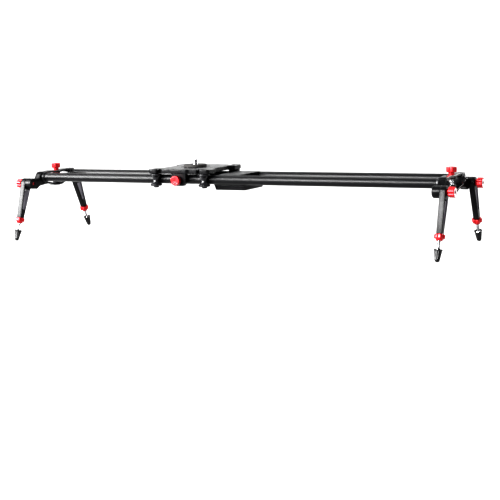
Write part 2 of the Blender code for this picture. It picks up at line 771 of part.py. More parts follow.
def roller():
    """U-groove roller, bored for an axle and counterbored for two bearings."""
    wrap = radians(68)
    reach = ROLLER_GROOVE_RADIUS * sin(wrap)
    heights = [ROLLER_GROOVE_RADIUS * sin(wrap * i / 3) for i in range(-3, 4)]
    flange = ROLLER_FLANGE_RADIUS
    half = ROLLER_HALF_HEIGHT
    edge = 0.0008
    seat = BEARING_RADIUS + GAP
    seat_floor = half - BEARING_INSET - BEARING_WIDTH - GAP
    bore = SLEEVE_RADIUS + GAP
    outside = [(flange - edge, -half), (flange, -half + edge), (flange, -reach - 0.0001)]
    outside += [(groove_radius(z), z) for z in heights]
    outside += [(flange, reach + 0.0001), (flange, half - edge), (flange - edge, half)]
    inside = [(seat, half), (seat, seat_floor), (bore, seat_floor)]
    inside += [(bore, -seat_floor), (seat, -seat_floor), (seat, -half)]
    return turned(outside + inside, MEDIUM_STEPS, closed=True)


def roller_bearings():
    """Bearing cartridge of a roller: two bearings on one sleeve."""
    high = ROLLER_HALF_HEIGHT - BEARING_INSET
    low = high - BEARING_WIDTH
    inner = SMALL_SHANK_RADIUS + GAP
    profile = [
        (BEARING_RADIUS, -high),
        (BEARING_RADIUS, -low),
        (SLEEVE_RADIUS, -low),
        (SLEEVE_RADIUS, low),
        (BEARING_RADIUS, low),
        (BEARING_RADIUS, high),
        (inner, high),
        (inner, -high),
    ]
    return turned(profile, SMALL_STEPS, closed=True)


def roller_axle():
    """Shoulder bolt, screwed up into the plate from below its roller."""
    head_top = -ROLLER_HALF_HEIGHT - GAP
    profile = [
        (0.0, head_top - 0.0012),
        (AXLE_SOCKET_RADIUS, head_top - 0.0012),
        (AXLE_SOCKET_RADIUS, head_top - AXLE_HEAD_HEIGHT),
        (AXLE_HEAD_RADIUS - 0.0005, head_top - AXLE_HEAD_HEIGHT),
        (AXLE_HEAD_RADIUS, head_top - AXLE_HEAD_HEIGHT + 0.0005),
        (AXLE_HEAD_RADIUS, head_top),
        (SMALL_SHANK_RADIUS, head_top),
        (SMALL_SHANK_RADIUS, PLATE_TOP - 0.0006),
        (0.0, PLATE_TOP - 0.0006),
    ]
    return turned(profile, SMALL_STEPS)


def camera_screw():
    """Camera stud with a wide head under the plate."""
    radius = CAMERA_THREAD_RADIUS
    head_low = PLATE_BOTTOM + 0.0004
    profile = [
        (0.0, head_low + 0.0014),
        (0.0032, head_low + 0.0014),
        (0.0032, head_low),
        (CAMERA_HEAD_RADIUS, head_low),
        (CAMERA_HEAD_RADIUS, head_low + 0.0028),
        (radius, head_low + 0.0028),
        (radius, CAMERA_STUD_TOP - 0.0009),
        (radius - 0.0009, CAMERA_STUD_TOP),
        (0.0, CAMERA_STUD_TOP),
    ]
    return turned(profile)


def camera_pad():
    """Round pad that the camera head stands on."""
    edge = 0.0006
    profile = [
        (PAD_RADIUS - edge, PLATE_TOP + GAP),
        (PAD_RADIUS, PLATE_TOP + GAP + edge),
        (PAD_RADIUS, PAD_TOP - edge),
        (PAD_RADIUS - edge, PAD_TOP),
        (CAMERA_THREAD_RADIUS + GAP, PAD_TOP),
        (CAMERA_THREAD_RADIUS + GAP, PLATE_TOP + GAP),
    ]
    return turned(profile, WIDE_STEPS, closed=True)


def brake_block():
    """Block under the plate's front tab, with chamfered lower corners."""
    half = BRAKE_HALF_LENGTH
    top = PLATE_BOTTOM - GAP
    cut = 0.0055
    outline = [
        (BRAKE_BOTTOM, -half + cut),
        (BRAKE_BOTTOM + cut, -half),
        (top, -half),
        (top, half),
        (BRAKE_BOTTOM + cut, half),
        (BRAKE_BOTTOM, half - cut),
    ]
    block = transform(prism(outline[::-1], BRAKE_OUTER_Y, BRAKE_INNER_Y), ALONG_Y)
    hole = SMALL_SHANK_RADIUS + BORE_CLEARANCE
    chamber = BRAKE_INNER_Y - 0.0035
    cutters = [
        transform(rod(hole, BRAKE_OUTER_Y - 0.01, BRAKE_INNER_Y + 0.01, SMALL_STEPS), ALONG_Y),
        transform(rod(BRAKE_PAD_RADIUS + GAP, chamber, BRAKE_INNER_Y + 0.01, SMALL_STEPS), ALONG_Y),
    ]
    for x, y in brake_screw_places():
        hole = rod(BLOCK_SCREW_HOLE_RADIUS, top - 0.0075, top + OVERRUN, SMALL_STEPS)
        cutters.append(transform(hole, shift(x, y)))
    return boolean(block, cutters, "DIFFERENCE")


def brake_block_screw():
    """Cap screw through the plate into the brake block."""
    head = PLATE_TOP - 0.0031
    profile = [
        (0.0, PLATE_BOTTOM - BLOCK_SCREW_LENGTH_IN_BLOCK),
        (BLOCK_SCREW_RADIUS, PLATE_BOTTOM - BLOCK_SCREW_LENGTH_IN_BLOCK),
        (BLOCK_SCREW_RADIUS, head),
        (BLOCK_SCREW_HEAD_RADIUS, head),
        (BLOCK_SCREW_HEAD_RADIUS, PLATE_TOP - 0.0004),
        (BLOCK_SCREW_SOCKET_RADIUS, PLATE_TOP - 0.0004),
        (BLOCK_SCREW_SOCKET_RADIUS, PLATE_TOP - 0.0018),
        (0.0, PLATE_TOP - 0.0018),
    ]
    return turned(profile, SMALL_STEPS)


def make_carriage():
    """The carriage, its rollers and its brake."""
    centre = empty("carriage_centre", (CARRIAGE_X, 0, RAIL_Z))
    finish(carriage_plate(), "carriage_plate", "black_anodised", centre)
    finish(camera_pad(), "camera_pad", "black_rubber", centre)
    finish(camera_screw(), "camera_screw", "steel", centre)
    for row, side in (("front", -1), ("back", 1)):
        for column, end in (("left", -1), ("right", 1)):
            name = row + "_" + column + "_roller"
            place = (end * ROLLER_X, side * ROLLER_Y, 0)
            finish(roller(), name, "roller_nylon", centre, place)
            finish(roller_bearings(), name + "_bearings", "steel", centre, place)
            finish(roller_axle(), name + "_axle", "black_steel", centre, place)
    finish(brake_block(), "brake_block", "black_anodised", centre)
    for (x, y), label in zip(brake_screw_places(), ("left", "right")):
        finish(brake_block_screw(), label + "_brake_block_screw", "black_steel", centre, (x, y, 0))
    make_brake(centre)


def make_brake(centre):
    """Brake knob, its screw and the pad that presses on the front tube."""
    outward = MIRROR_Y @ ALONG_Y
    knob_y = BRAKE_OUTER_Y - GAP
    bore = SMALL_SHANK_RADIUS + GAP
    knob = turned(knob_profile(0.005, 0.0024, 0.0119, bore, 0.0088, 0.0022, 0.0012))
    finish(transform(knob, outward), "brake_knob", "red_anodised", centre, (0, knob_y, 0))
    pad_front = -TUBE_SPACING / 2 - TUBE_RADIUS - BRAKE_PAD_GAP
    pad_back = BRAKE_INNER_Y - 0.0026
    pad = transform(shank(BRAKE_PAD_RADIUS, pad_back, pad_front, 0.0003), ALONG_Y)
    finish(pad, "brake_pad", "black_rubber", centre)
    tip = knob_y - (pad_back - 0.0008)
    screw = transform(shank(SMALL_SHANK_RADIUS, tip, 0.0084, 0.0003), outward)
    finish(screw, "brake_screw", "steel", centre, (0, knob_y, 0))


def main():
    """Build the whole slider."""
    for item in list(bpy.data.objects):
        bpy.data.objects.remove(item)
    make_tubes()
    for name, side in (("left", -1), ("right", 1)):
        make_end(name, side)
        make_leg(name + "_front", side, -1)
        make_leg(name + "_back", side, 1)
    make_support()
    make_carriage()


main()
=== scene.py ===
"""Looks of the camera slider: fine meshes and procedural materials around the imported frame.

Lengths are in metres, in the frame's own axes: X along the tubes, -Y towards the operator, Z up.
Each fine piece repeats the size of the solid it stands for, and rides on that solid's body.
"""
from math import asin, atan2, cos, pi, radians, sin, sqrt

import bmesh
import bpy
from mathutils import Matrix, Vector


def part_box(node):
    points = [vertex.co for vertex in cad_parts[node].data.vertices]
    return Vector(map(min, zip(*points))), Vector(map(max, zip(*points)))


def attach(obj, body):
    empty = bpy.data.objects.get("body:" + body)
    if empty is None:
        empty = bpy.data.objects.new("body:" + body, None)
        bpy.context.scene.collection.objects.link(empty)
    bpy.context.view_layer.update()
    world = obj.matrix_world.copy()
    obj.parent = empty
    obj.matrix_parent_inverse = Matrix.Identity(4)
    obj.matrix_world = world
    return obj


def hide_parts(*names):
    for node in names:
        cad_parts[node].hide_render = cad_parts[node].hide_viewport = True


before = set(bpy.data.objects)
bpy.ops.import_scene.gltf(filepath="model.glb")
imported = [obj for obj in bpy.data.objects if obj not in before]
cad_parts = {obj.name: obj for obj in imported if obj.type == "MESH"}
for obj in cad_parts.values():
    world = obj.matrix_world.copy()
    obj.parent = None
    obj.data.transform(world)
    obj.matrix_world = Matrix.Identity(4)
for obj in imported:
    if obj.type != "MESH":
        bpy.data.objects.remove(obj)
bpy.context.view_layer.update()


def middle(node):
    """Centre of a node's box."""
    low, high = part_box(node)
    return (low + high) / 2


GAP = 0.0003
RAIL_Z = middle("front_tube").z
CARRIAGE_X = middle("camera_pad").x

# Tubes, and how many tows of the weave lie around one
TUBE_RADIUS = 0.008
TUBE_WALL = 0.0014
TUBE_SPACING = 0.082
TUBE_HALF_LENGTH = 0.3957
TOWS_AROUND = 64
TOW_WIDTH = 2 * pi * TUBE_RADIUS / TOWS_AROUND

# Ends
BRACKET_INNER_X = 0.382
BRACKET_OUTER_X = 0.3983
BRACKET_CENTRE_X = 0.391
SOCKET_RADIUS = 0.0104
BRIDGE_TOP = 0.0095
BRIDGE_RISE = 0.0018
BRIDGE_THICKNESS = 0.0042
BOSS_RADIUS = 0.0072
BOSS_SEAT = 0.0088
YOKE_INNER_X = 0.3855
YOKE_OUTER_X = 0.3985
YOKE_BOTTOM = -0.0186
PIVOT_Y = 0.0755
PIVOT_DROP = 0.0093
BARREL_RADIUS = 0.0098

# Legs
LEG_WIDTH = 0.0094
LEG_LENGTH = 0.066
LEG_FOOT_HALF_DEPTH = 0.0047
LEG_POCKET_DEPTH = 0.0016
LEG_RIM = 0.0023
LEG_SPLAY = radians(20.2)
WINDOW_TOP = 0.0114
WINDOW_HEIGHT = 0.0027
ROD_TOP = 0.0398
ROD_TOP_LIMIT = -0.0272
NUT_BOTTOM = 0.076
BOOT_TOP = 0.089
BOOT_RADIUS = 0.00665
BALL_DISTANCE = 0.1048
BALL_RADIUS = 0.0042

# Fasteners and knobs
STUD_RADIUS = 0.003
SHANK_RADIUS = 0.0024
BORE_CLEARANCE = 0.0003
STUD_HOLE = STUD_RADIUS + BORE_CLEARANCE
SHANK_HOLE = SHANK_RADIUS + BORE_CLEARANCE
KNOB_RADIUS = 0.0086
THREAD_PITCH = 0.0008
THREAD_DEPTH = 0.00022
THREAD_ANGLE = 50
BUTTON_RADIUS = 0.0052
BUTTON_HEIGHT = 0.0029
BUTTON_SOCKET = 0.0019

# Carriage and brake
PLATE_HALF_LENGTH = 0.061
PLATE_HALF_WIDTH = 0.062
PLATE_BOTTOM = 0.0112
PLATE_TOP = 0.0187
ROLLER_X = 0.049
ROLLER_Y = 0.0545
ROLLER_HALF_HEIGHT = 0.0107
ROLLER_FLANGE_RADIUS = 0.0102
ROLLER_GROOVE_RADIUS = 0.0083
BEARING_RADIUS = 0.005
BEARING_WIDTH = 0.004
BEARING_INSET = 0.0011
SLEEVE_RADIUS = 0.003
PAD_RADIUS = 0.0203
PAD_TOP = 0.0232
CAMERA_THREAD_RADIUS = 0.0047
CAMERA_THREAD_PITCH = 0.0016
CAMERA_HEAD_RADIUS = 0.0086
CAMERA_SOCKET = 0.0032
CAMERA_STUD_TOP = 0.032
BRAKE_HALF_LENGTH = 0.0147
BRAKE_OUTER_Y = -0.060
BRAKE_INNER_Y = -0.051
BRAKE_BOTTOM = -0.010
BRAKE_PAD_RADIUS = 0.0036
BRAKE_PAD_GAP = 0.0006

# Tripod support
SUPPORT_X = 0.008
SUPPORT_HALF_LENGTH = 0.029
SUPPORT_HALF_WIDTH = 0.033
SUPPORT_BOTTOM = -0.0185
CLAMP_BAR_HALF_LENGTH = 0.021
CLAMP_BAR_TOP = 0.0088
CLAMP_SCREW_X = 0.0145
TRIPOD_THREAD_RADIUS = 0.0048
TRIPOD_THREAD_PITCH = 0.0015

# Camera: place above the tubes' height, turns in degrees, and lens in millimetres
CAMERA_PLACE = (0.91383, -1.66578, 0.16593)
CAMERA_YAW, CAMERA_PITCH, CAMERA_ROLL = 28.08049, 8.82414, -1.78484
CAMERA_LENS = 78.139

# Soft lights: name, place, target, width, height and watts
LIGHTS = (
    ("key", (-2.0, -1.84, 0.88), (-0.4, -0.08, 0.07), 1.2, 0.9, 315),
    ("front", (-0.36, -2.26, 1.04), (0.4, -0.08, 0.07), 1.1, 0.7, 205),
    ("left_top", (-1.83, -1.08, 1.66), (-0.35, 0.0, 0.11), 0.9, 0.7, 50),
    ("sky", (-0.3, 1.0, 2.8), (-0.3, 0.8, 0.0), 3.4, 2.2, 22),
    ("backdrop_left", (-2.5, 1.3, 2.4), (-2.4, 3.2, 0.9), 1.8, 1.2, 66),
    ("backdrop_right", (-0.9, 1.3, 2.4), (-0.9, 3.2, 0.9), 1.8, 1.2, 66),
    ("behind", (1.3, 2.3, 1.1), (0.1, 0.0, 0.08), 1.3, 0.8, 70),
)
WORLD_STRENGTH = 0.34
FLOOR_GLOW = 0.46

# Turn a shape made about Z so that its axis lies along X or Y
ALONG_X = Matrix(((0, 0, 1, 0), (1, 0, 0, 0), (0, 1, 0, 0), (0, 0, 0, 1)))
ALONG_Y = Matrix(((0, 1, 0, 0), (0, 0, 1, 0), (1, 0, 0, 0), (0, 0, 0, 1)))
MIRROR_X = Matrix.Scale(-1, 4, Vector((1, 0, 0)))
MIRROR_Y = Matrix.Scale(-1, 4, Vector((0, 1, 0)))

FINE = 96
MEDIUM = 48
WELD_DISTANCE = 0.000002


# ---------- mesh tools


def mesh_object(points, faces):
    """Make a mesh object from points and faces, without the points no face uses."""
    used = sorted({corner for face in faces for corner in face})
    places = {corner: i for i, corner in enumerate(used)}
    mesh = bpy.data.meshes.new("piece")
    mesh.from_pydata([points[i] for i in used], [], [[places[c] for c in face] for face in faces])
    made = bpy.data.objects.new("piece", mesh)
    bpy.context.collection.objects.link(made)
    return made


def transform(piece, matrix):
    """Move an object's mesh by a matrix, and keep its faces pointing out."""
    piece.data.transform(matrix)
    if matrix.determinant() < 0:
        piece.data.flip_normals()
    return piece


def shift(x=0.0, y=0.0, z=0.0):
    """Translation matrix."""
    return Matrix.Translation((x, y, z))


def turned(profile, steps=FINE, closed=False, shape=None):
    """Make a solid of revolution about Z from (radius, height) points, anticlockwise.

    shape(radius, height, angle) may move each point. A closed profile is a ring, and an open one starts
    and ends on the axis.
    """
    points = []
    rows = []
    for radius, height in profile:
        if radius == 0.0:
            rows.append([len(points)] * steps)
            points.append((0.0, 0.0, height))
            continue
        rows.append(list(range(len(points), len(points) + steps)))
        for step in range(steps):
            angle = 2 * pi * step / steps
            reach, level = shape(radius, height, angle) if shape else (radius, height)
            points.append((reach * cos(angle), reach * sin(angle), level))
    pairs = list(zip(rows, rows[1:]))
    faces = []
    if closed:
        pairs.append((rows[-1], rows[0]))
    if profile[0][0] == 0.0 and profile[0][1] == profile[1][1]:
        faces.append(rows[1][::-1])
        pairs = pairs[1:]
    if profile[-1][0] == 0.0 and profile[-1][1] == profile[-2][1]:
        faces.append(rows[-2])
        pairs = pairs[:-1]
    for low, high in pairs:
        for step in range(steps):
            after = (step + 1) % steps
            corners = [low[step], low[after], high[after], high[step]]
            faces.append([c for i, c in enumerate(corners) if c != corners[i - 1]])
    return mesh_object(points, faces)


def rod(radius, low, high, x=0.0, y=0.0, steps=MEDIUM):
    """Plain round bar that stands at x and y, for cutting holes."""
    return transform(turned([(0.0, low), (radius, low), (radius, high), (0.0, high)], steps), shift(x, y))


def rounded(corners, steps=4):
    """Round the corners (u, v, radius) of an outline with tangent arcs."""
    points = []
    for i, (u, v, *more) in enumerate(corners):
        radius = more[0] if more else 0.0
        here = Vector((u, v))
        if radius == 0.0:
            points.append((u, v))
            continue
        before = (Vector(corners[i - 1][:2]) - here).normalized()
        after = (Vector(corners[(i + 1) % len(corners)][:2]) - here).normalized()
        half = before.angle(after) / 2
        centre = here + (before + after).normalized() * (radius / sin(half))
        first = here + before * (radius * cos(half) / sin(half)) - centre
        last = here + after * (radius * cos(half) / sin(half)) - centre
        start = atan2(first.y, first.x)
        sweep = (atan2(last.y, last.x) - start + pi) % (2 * pi) - pi
        for step in range(steps + 1):
            angle = start + sweep * step / steps
            points.append((centre.x + radius * cos(angle), centre.y + radius * sin(angle)))
    return points


def arc(centre, radius, start, end, steps):
    """Points on an arc, both ends included; angles in degrees."""
    turns = [radians(start + (end - start) * step / steps) for step in range(steps + 1)]
    return [(centre[0] + radius * cos(turn), centre[1] + radius * sin(turn)) for turn in turns]


def inset(outline, distance):
    """Move an anticlockwise outline inwards."""
    moved = []
    for i, (u, v) in enumerate(outline):
        here = Vector((u, v))
        back = (here - Vector(outline[i - 1])).normalized()
        ahead = (Vector(outline[(i + 1) % len(outline)]) - here).normalized()
        sides = Vector((-back.y, back.x)), Vector((-ahead.y, ahead.x))
        miter = (sides[0] + sides[1]) / max(1 + sides[0].dot(sides[1]), 0.4)
        moved.append(tuple(here + miter * distance))
    return moved


def prism(outline, low, high, edge=0.0005, steps=3):
    """Extrude an anticlockwise outline along Z, with rounded rims."""
    turns = [radians(90 * i / steps) for i in range(steps + 1)]
    levels = [(low + edge * (1 - cos(turn)), edge * (1 - sin(turn))) for turn in turns]
    levels += [(high - edge * (1 - cos(turn)), edge * (1 - sin(turn))) for turn in reversed(turns)]
    count = len(outline)
    points = []
    for height, depth in levels:
        points += [(u, v, height) for u, v in (inset(outline, depth) if depth else outline)]
    faces = [list(range(count - 1, -1, -1)), list(range(len(points) - count, len(points)))]
    for level in range(len(levels) - 1):
        first = level * count
        for i in range(count):
            after = (i + 1) % count
            faces.append([first + i, first + after, first + count + after, first + count + i])
    return mesh_object(points, faces)


def plain_prism(outline, low, high):
    """Extrude an outline along Z with sharp rims, for cutting."""
    count = len(outline)
    points = [(u, v, low) for u, v in outline] + [(u, v, high) for u, v in outline]
    faces = [list(range(count - 1, -1, -1)), list(range(count, 2 * count))]
    faces += [[i, (i + 1) % count, (i + 1) % count + count, i + count] for i in range(count)]
    return mesh_object(points, faces)


def boolean(base, tools, operation):
    """Join tools to the base, or cut them from it, one at a time, and remove them."""
    for tool in tools:
        modifier = base.modifiers.new("boolean", "BOOLEAN")
        modifier.operation = operation
        modifier.solver = "EXACT"
        modifier.object = tool
        graph = bpy.context.evaluated_depsgraph_get()
        mesh = bpy.data.meshes.new_from_object(base.evaluated_get(graph))
        base.modifiers.clear()
        shape = bmesh.new()
        shape.from_mesh(mesh)
        bmesh.ops.remove_doubles(shape, verts=shape.verts, dist=WELD_DISTANCE)
        bmesh.ops.dissolve_degenerate(shape, edges=shape.edges, dist=WELD_DISTANCE)
        shape.to_mesh(mesh)
        shape.free()
        base.data = mesh
        bpy.data.objects.remove(tool)
    return base


def second_finish(tool):
    """Give a cutter's faces the second material of what it cuts."""
    for face in tool.data.polygons:
        face.material_index = 1
    return tool


def add(piece, node, body, slot, *materials, matrix=None, angle=32):
    """Place a fine piece, paint it, and let it stand for a CAD node and ride on its body."""
    if matrix:
        transform(piece, matrix)
    piece.name = node + "_fine"
    piece.data.name = node + "_fine"
    finishes = [face.material_index for face in piece.data.polygons]
    piece.data.materials.clear()
    for paint in materials:
        piece.data.materials.append(paint)
    piece.data.polygons.foreach_set("material_index", finishes)
    piece.data.shade_smooth()
    piece.data.set_sharp_from_angle(angle=radians(angle))
    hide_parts(node)
    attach(piece, body)
    return piece


# ---------- materials


def node(tree, kind, settings=None, **inputs):
    """Add a shader node; a socket given as an input is linked, and anything else is set."""
    made = tree.nodes.new("ShaderNode" + kind)
    for key, value in (settings or {}).items():
        setattr(made, key, value)
    for key, value in inputs.items():
        connect(tree, value, made.inputs[key.replace("_", " ")])
    return made


def connect(tree, value, socket):
    """Link a socket to another, or set it to a value."""
    if isinstance(value, bpy.types.NodeSocket):
        tree.links.new(value, socket)
    else:
        socket.default_value = value


def maths(tree, operation, *values):
    """A maths node's result."""
    made = node(tree, "Math", {"operation": operation})
    for value, socket in zip(values, made.inputs):
        connect(tree, value, socket)
    return made.outputs[0]


def remap(tree, value, low, high, to_low=0.0, to_high=1.0):
    """Map a range to another, clamped."""
    made = node(tree, "MapRange", {"clamp": True})
    for place, given in enumerate((value, low, high, to_low, to_high)):
        connect(tree, given, made.inputs[place])
    return made.outputs[0]


def blend(tree, factor, first, second):
    """Mix two colours."""
    made = node(tree, "Mix", {"data_type": "RGBA"})
    connect(tree, factor, made.inputs[0])
    connect(tree, first, made.inputs[6])
    connect(tree, second, made.inputs[7])
    return made.outputs[2]


def rgb(red, green, blue):
    """A colour with full opacity."""
    return (red, green, blue, 1.0)


def grey(level, blue=None):
    """A neutral colour, whose blue may differ."""
    return rgb(level, level, level if blue is None else blue)


def new_material(name, **constants):
    """A material and its Principled shader, with its constant sockets set."""
    made = bpy.data.materials.new(name)
    made.use_nodes = True
    shader = made.node_tree.nodes["Principled BSDF"]
    for key, value in constants.items():
        shader.inputs[key.replace("_", " ")].default_value = value
    return made, made.node_tree, shader


def surface(tree, shader, colour, roughness, normal):
    """Link the shader's colour, roughness and normal."""
    for name, value in (("Base Color", colour), ("Roughness", roughness), ("Normal", normal)):
        connect(tree, value, shader.inputs[name])


def noise(tree, scale, detail=3.0, stretch=None):
    """Noise at a scale in cycles per metre, which may be stretched along an axis."""
    where = node(tree, "TexCoord").outputs["Object"]
    if stretch:
        where = node(tree, "Mapping", Vector=where, Scale=stretch).outputs[0]
    return node(tree, "TexNoise", Vector=where, Scale=scale, Detail=detail).outputs["Fac"]


def cells(tree, scale):
    """Distance to the nearest of scattered points, at a scale in points per metre."""
    where = node(tree, "TexCoord").outputs["Object"]
    return node(tree, "TexVoronoi", Vector=where, Scale=scale).outputs["Distance"]


def edge_wear(tree, radius=0.0004):
    """1 along sharp edges and 0 on flat faces, and the softened normal."""
    soft = node(tree, "Bevel", {"samples": 4}, Radius=radius).outputs[0]
    made = node(tree, "VectorMath", {"operation": "DOT_PRODUCT"})
    connect(tree, soft, made.inputs[0])
    connect(tree, node(tree, "NewGeometry").outputs["Normal"], made.inputs[1])
    return remap(tree, made.outputs["Value"], 0.995, 0.90), soft


def bump(tree, height, strength, distance, normal=None):
    """Bump normal from a height."""
    made = node(tree, "Bump", Height=height, Strength=strength, Distance=distance)
    if normal:
        connect(tree, normal, made.inputs["Normal"])
    return made.outputs[0]


def anodised(name, dark, light, worn, roughness, **constants):
    """Anodised metal: fine blasted grain, cloudy tone, handling marks and bright worn edges."""
    made, tree, shader = new_material(name, **constants)
    cloud = remap(tree, noise(tree, 55.0, 4.0), 0.35, 0.65)
    grain = noise(tree, 2600.0, 2.0)
    marks = noise(tree, 240.0, 5.0, (1.0, 1.0, 6.0))
    edges, soft = edge_wear(tree)
    breaks = remap(tree, noise(tree, 700.0, 4.0), 0.42, 0.62, 0.15, 1.0)
    broken = maths(tree, "MULTIPLY", edges, breaks)
    tone = blend(tree, broken, blend(tree, cloud, dark, light), worn)
    handled = remap(tree, marks, 0.3, 0.7, -0.06, 0.07)
    blasted = remap(tree, grain, 0.3, 0.7, -0.03, 0.03)
    rough = maths(tree, "ADD", maths(tree, "ADD", handled, blasted), roughness)
    surface(tree, shader, tone, rough, bump(tree, grain, 0.25, 0.00002, soft))
    return made


def machined(name, dark, light, roughness, **constants):
    """Bright turned metal: fine tool lines, tone and small scratches."""
    made, tree, shader = new_material(name, **constants)
    cloud = remap(tree, noise(tree, 160.0, 4.0), 0.3, 0.7)
    lines = noise(tree, 1500.0, 2.0, (1.0, 1.0, 3.0))
    scratches = noise(tree, 420.0, 6.0, (4.0, 1.0, 1.0))
    tone = blend(tree, cloud, dark, light)
    rough = remap(tree, scratches, 0.35, 0.7, roughness - 0.03, roughness + 0.1)
    surface(tree, shader, tone, rough, bump(tree, lines, 0.15, 0.00002))
    return made


def carbon_weave():
    """Carbon fibre in 2/2 twill under a clear coat; the UV counts tows along and around the tube."""
    made, tree, shader = new_material(
        "carbon_weave", Metallic=0.0, Specular_IOR_Level=0.10, Coat_Weight=0.04, Coat_Roughness=0.12
    )
    uv = node(tree, "TexCoord").outputs["UV"]
    place = node(tree, "SeparateXYZ", Vector=uv).outputs
    along, around = place[0], place[1]
    cell = maths(tree, "ADD", maths(tree, "FLOOR", along), maths(tree, "FLOOR", around))
    turn = maths(tree, "FLOORED_MODULO", cell, 4.0)
    length_on_top = maths(tree, "LESS_THAN", turn, 2.0)
    across_length = maths(tree, "FRACT", around)
    across_hoop = maths(tree, "FRACT", along)
    across = node(tree, "Mix", {"data_type": "FLOAT"})
    for socket, value in zip((0, 2, 3), (length_on_top, across_hoop, across_length)):
        connect(tree, value, across.inputs[socket])
    middle_line = maths(tree, "SUBTRACT", across.outputs[0], 0.5)
    squared = maths(tree, "MULTIPLY", middle_line, middle_line)
    crown = maths(tree, "SUBTRACT", 1.0, maths(tree, "MULTIPLY", squared, 4.0))
    fibre_sheen = node(tree, "Mix", {"data_type": "FLOAT"})
    connect(tree, length_on_top, fibre_sheen.inputs[0])
    for socket, stretch in ((2, (30.0, 1.0, 1.0)), (3, (1.0, 30.0, 1.0))):
        where = node(tree, "Mapping", Vector=uv, Scale=stretch).outputs[0]
        streaks = node(tree, "TexNoise", Vector=where, Scale=1.0).outputs["Fac"]
        connect(tree, streaks, fibre_sheen.inputs[socket])
    # Painted sheen: lengthwise tows on top are painted lighter than hoop tows, and streaks along the fibres
    # lighten them further, standing in for how the two tow directions reflect light
    weave = blend(tree, length_on_top, grey(0.0005, 0.0006), grey(0.003, 0.0034))
    shade = remap(tree, fibre_sheen.outputs[0], 0.3, 0.7, 0.0, 0.55)
    painted_sheen_tone = blend(tree, shade, weave, grey(0.006, 0.0065))
    seam = remap(tree, crown, 0.0, 0.35)
    tone = blend(tree, seam, grey(0.001), painted_sheen_tone)
    rough = remap(tree, length_on_top, 0.0, 1.0, 0.34, 0.24)
    surface(tree, shader, tone, rough, bump(tree, crown, 0.55, 0.00012))
    return made


def rubber():
    """Moulded rubber: dull, with random dusty patches and a fine leathery grain."""
    made, tree, shader = new_material("moulded_rubber", Specular_IOR_Level=0.2)
    dust = remap(tree, noise(tree, 300.0, 6.0), 0.45, 0.75)
    tone = blend(tree, dust, grey(0.002, 0.0022), rgb(0.007, 0.0068, 0.007))
    rough = remap(tree, dust, 0.0, 1.0, 0.30, 0.6)
    grain = cells(tree, 1800.0)
    surface(tree, shader, tone, rough, bump(tree, grain, 0.3, 0.00005))
    return made


def cork_rubber():
    """Grippy pad of rubber with fine cork flecks."""
    made, tree, shader = new_material("cork_rubber", Specular_IOR_Level=0.3)
    flecks = cells(tree, 1100.0)
    pick = remap(tree, flecks, 0.18, 0.3, 1.0, 0.0)
    cloud = noise(tree, 500.0, 4.0)
    base = blend(tree, cloud, rgb(0.005, 0.0048, 0.0047), rgb(0.012, 0.011, 0.0105))
    tone = blend(tree, pick, base, rgb(0.035, 0.028, 0.022))
    rough = remap(tree, flecks, 0.0, 0.6, 0.6, 0.85)
    surface(tree, shader, tone, rough, bump(tree, flecks, 0.4, 0.00008))
    return made


def nylon():
    """Turned black acetal: soft sheen, tool lines around the roller."""
    made, tree, shader = new_material("turned_acetal", Specular_IOR_Level=0.25)
    lines = noise(tree, 900.0, 3.0, (0.4, 0.4, 5.0))
    cloud = noise(tree, 140.0)
    tone = blend(tree, cloud, grey(0.0025, 0.003), grey(0.007, 0.008))
    rough = remap(tree, lines, 0.3, 0.7, 0.16, 0.3)
    surface(tree, shader, tone, rough, bump(tree, lines, 0.3, 0.00003))
    return made


CARBON = carbon_weave()
BLACK = anodised(
    "black_anodised_fine", grey(0.0012, 0.0014), grey(0.0036, 0.004), grey(0.07, 0.075), 0.30,
    Specular_IOR_Level=0.085,
)
PLATE = anodised(
    "glossy_plate", grey(0.0012, 0.0014), grey(0.0045, 0.005), grey(0.10, 0.11), 0.26,
    Specular_IOR_Level=0.13,
)
CAST = anodised(
    "satin_casting", grey(0.002, 0.0024), grey(0.009, 0.010), grey(0.12, 0.13), 0.30,
    Metallic=0.1, Specular_IOR_Level=0.16,
)
POCKET = anodised(
    "blasted_pocket", rgb(0.064, 0.061, 0.074), rgb(0.109, 0.102, 0.122), grey(0.2), 0.5,
    Metallic=0.2, Specular_IOR_Level=0.4,
)
RED = anodised(
    "red_anodised_fine", rgb(0.27, 0.005, 0.008), rgb(0.37, 0.011, 0.015), rgb(0.62, 0.22, 0.23), 0.30,
    Metallic=0.72, Specular_IOR_Level=0.6,
)
CHROME = machined("chrome_fine", grey(0.28, 0.292), grey(0.41, 0.425), 0.12, Metallic=1.0)
STEEL = machined("steel_fine", grey(0.30, 0.312), grey(0.44, 0.455), 0.24, Metallic=1.0)
BARE = machined("bare_turned_face", rgb(0.82, 0.81, 0.82), rgb(0.95, 0.94, 0.95), 0.38, Metallic=0.9)
BLACK_STEEL = machined("black_oxide", grey(0.016, 0.018), grey(0.045, 0.048), 0.30, Metallic=0.8)
RUBBER = rubber()
CORK = cork_rubber()
ACETAL = nylon()


# ---------- turned shapes


def hexagon(angle):
    """Reach of a unit hexagon's side at an angle."""
    return cos(pi / 6) / cos((angle + pi / 6) % (pi / 3) - pi / 6)


def grip(count, depth, start, fade, power):
    """How deep a knob's flutes cut, which depends on the radius and the angle."""

    def cut(radius, angle):
        reach = min(max((radius - start) / fade, 0.0), 1.0)
        return depth * reach * (0.5 - 0.5 * cos(count * angle)) ** power

    return cut


LOBES = grip(count=6, depth=0.0014, start=0.00585, fade=0.00275, power=1.5)
KNURLS = grip(count=16, depth=0.0006, start=0.0068, fade=0.0018, power=1.0)


def socketed(socket, flutes=None):
    """Shape of a round head with a hexagonal socket, and with flutes where it is a knob."""

    def shape(radius, height, angle):
        if radius <= socket:
            return radius * hexagon(angle), height
        return radius - (flutes(radius, angle) if flutes else 0.0), height

    return shape


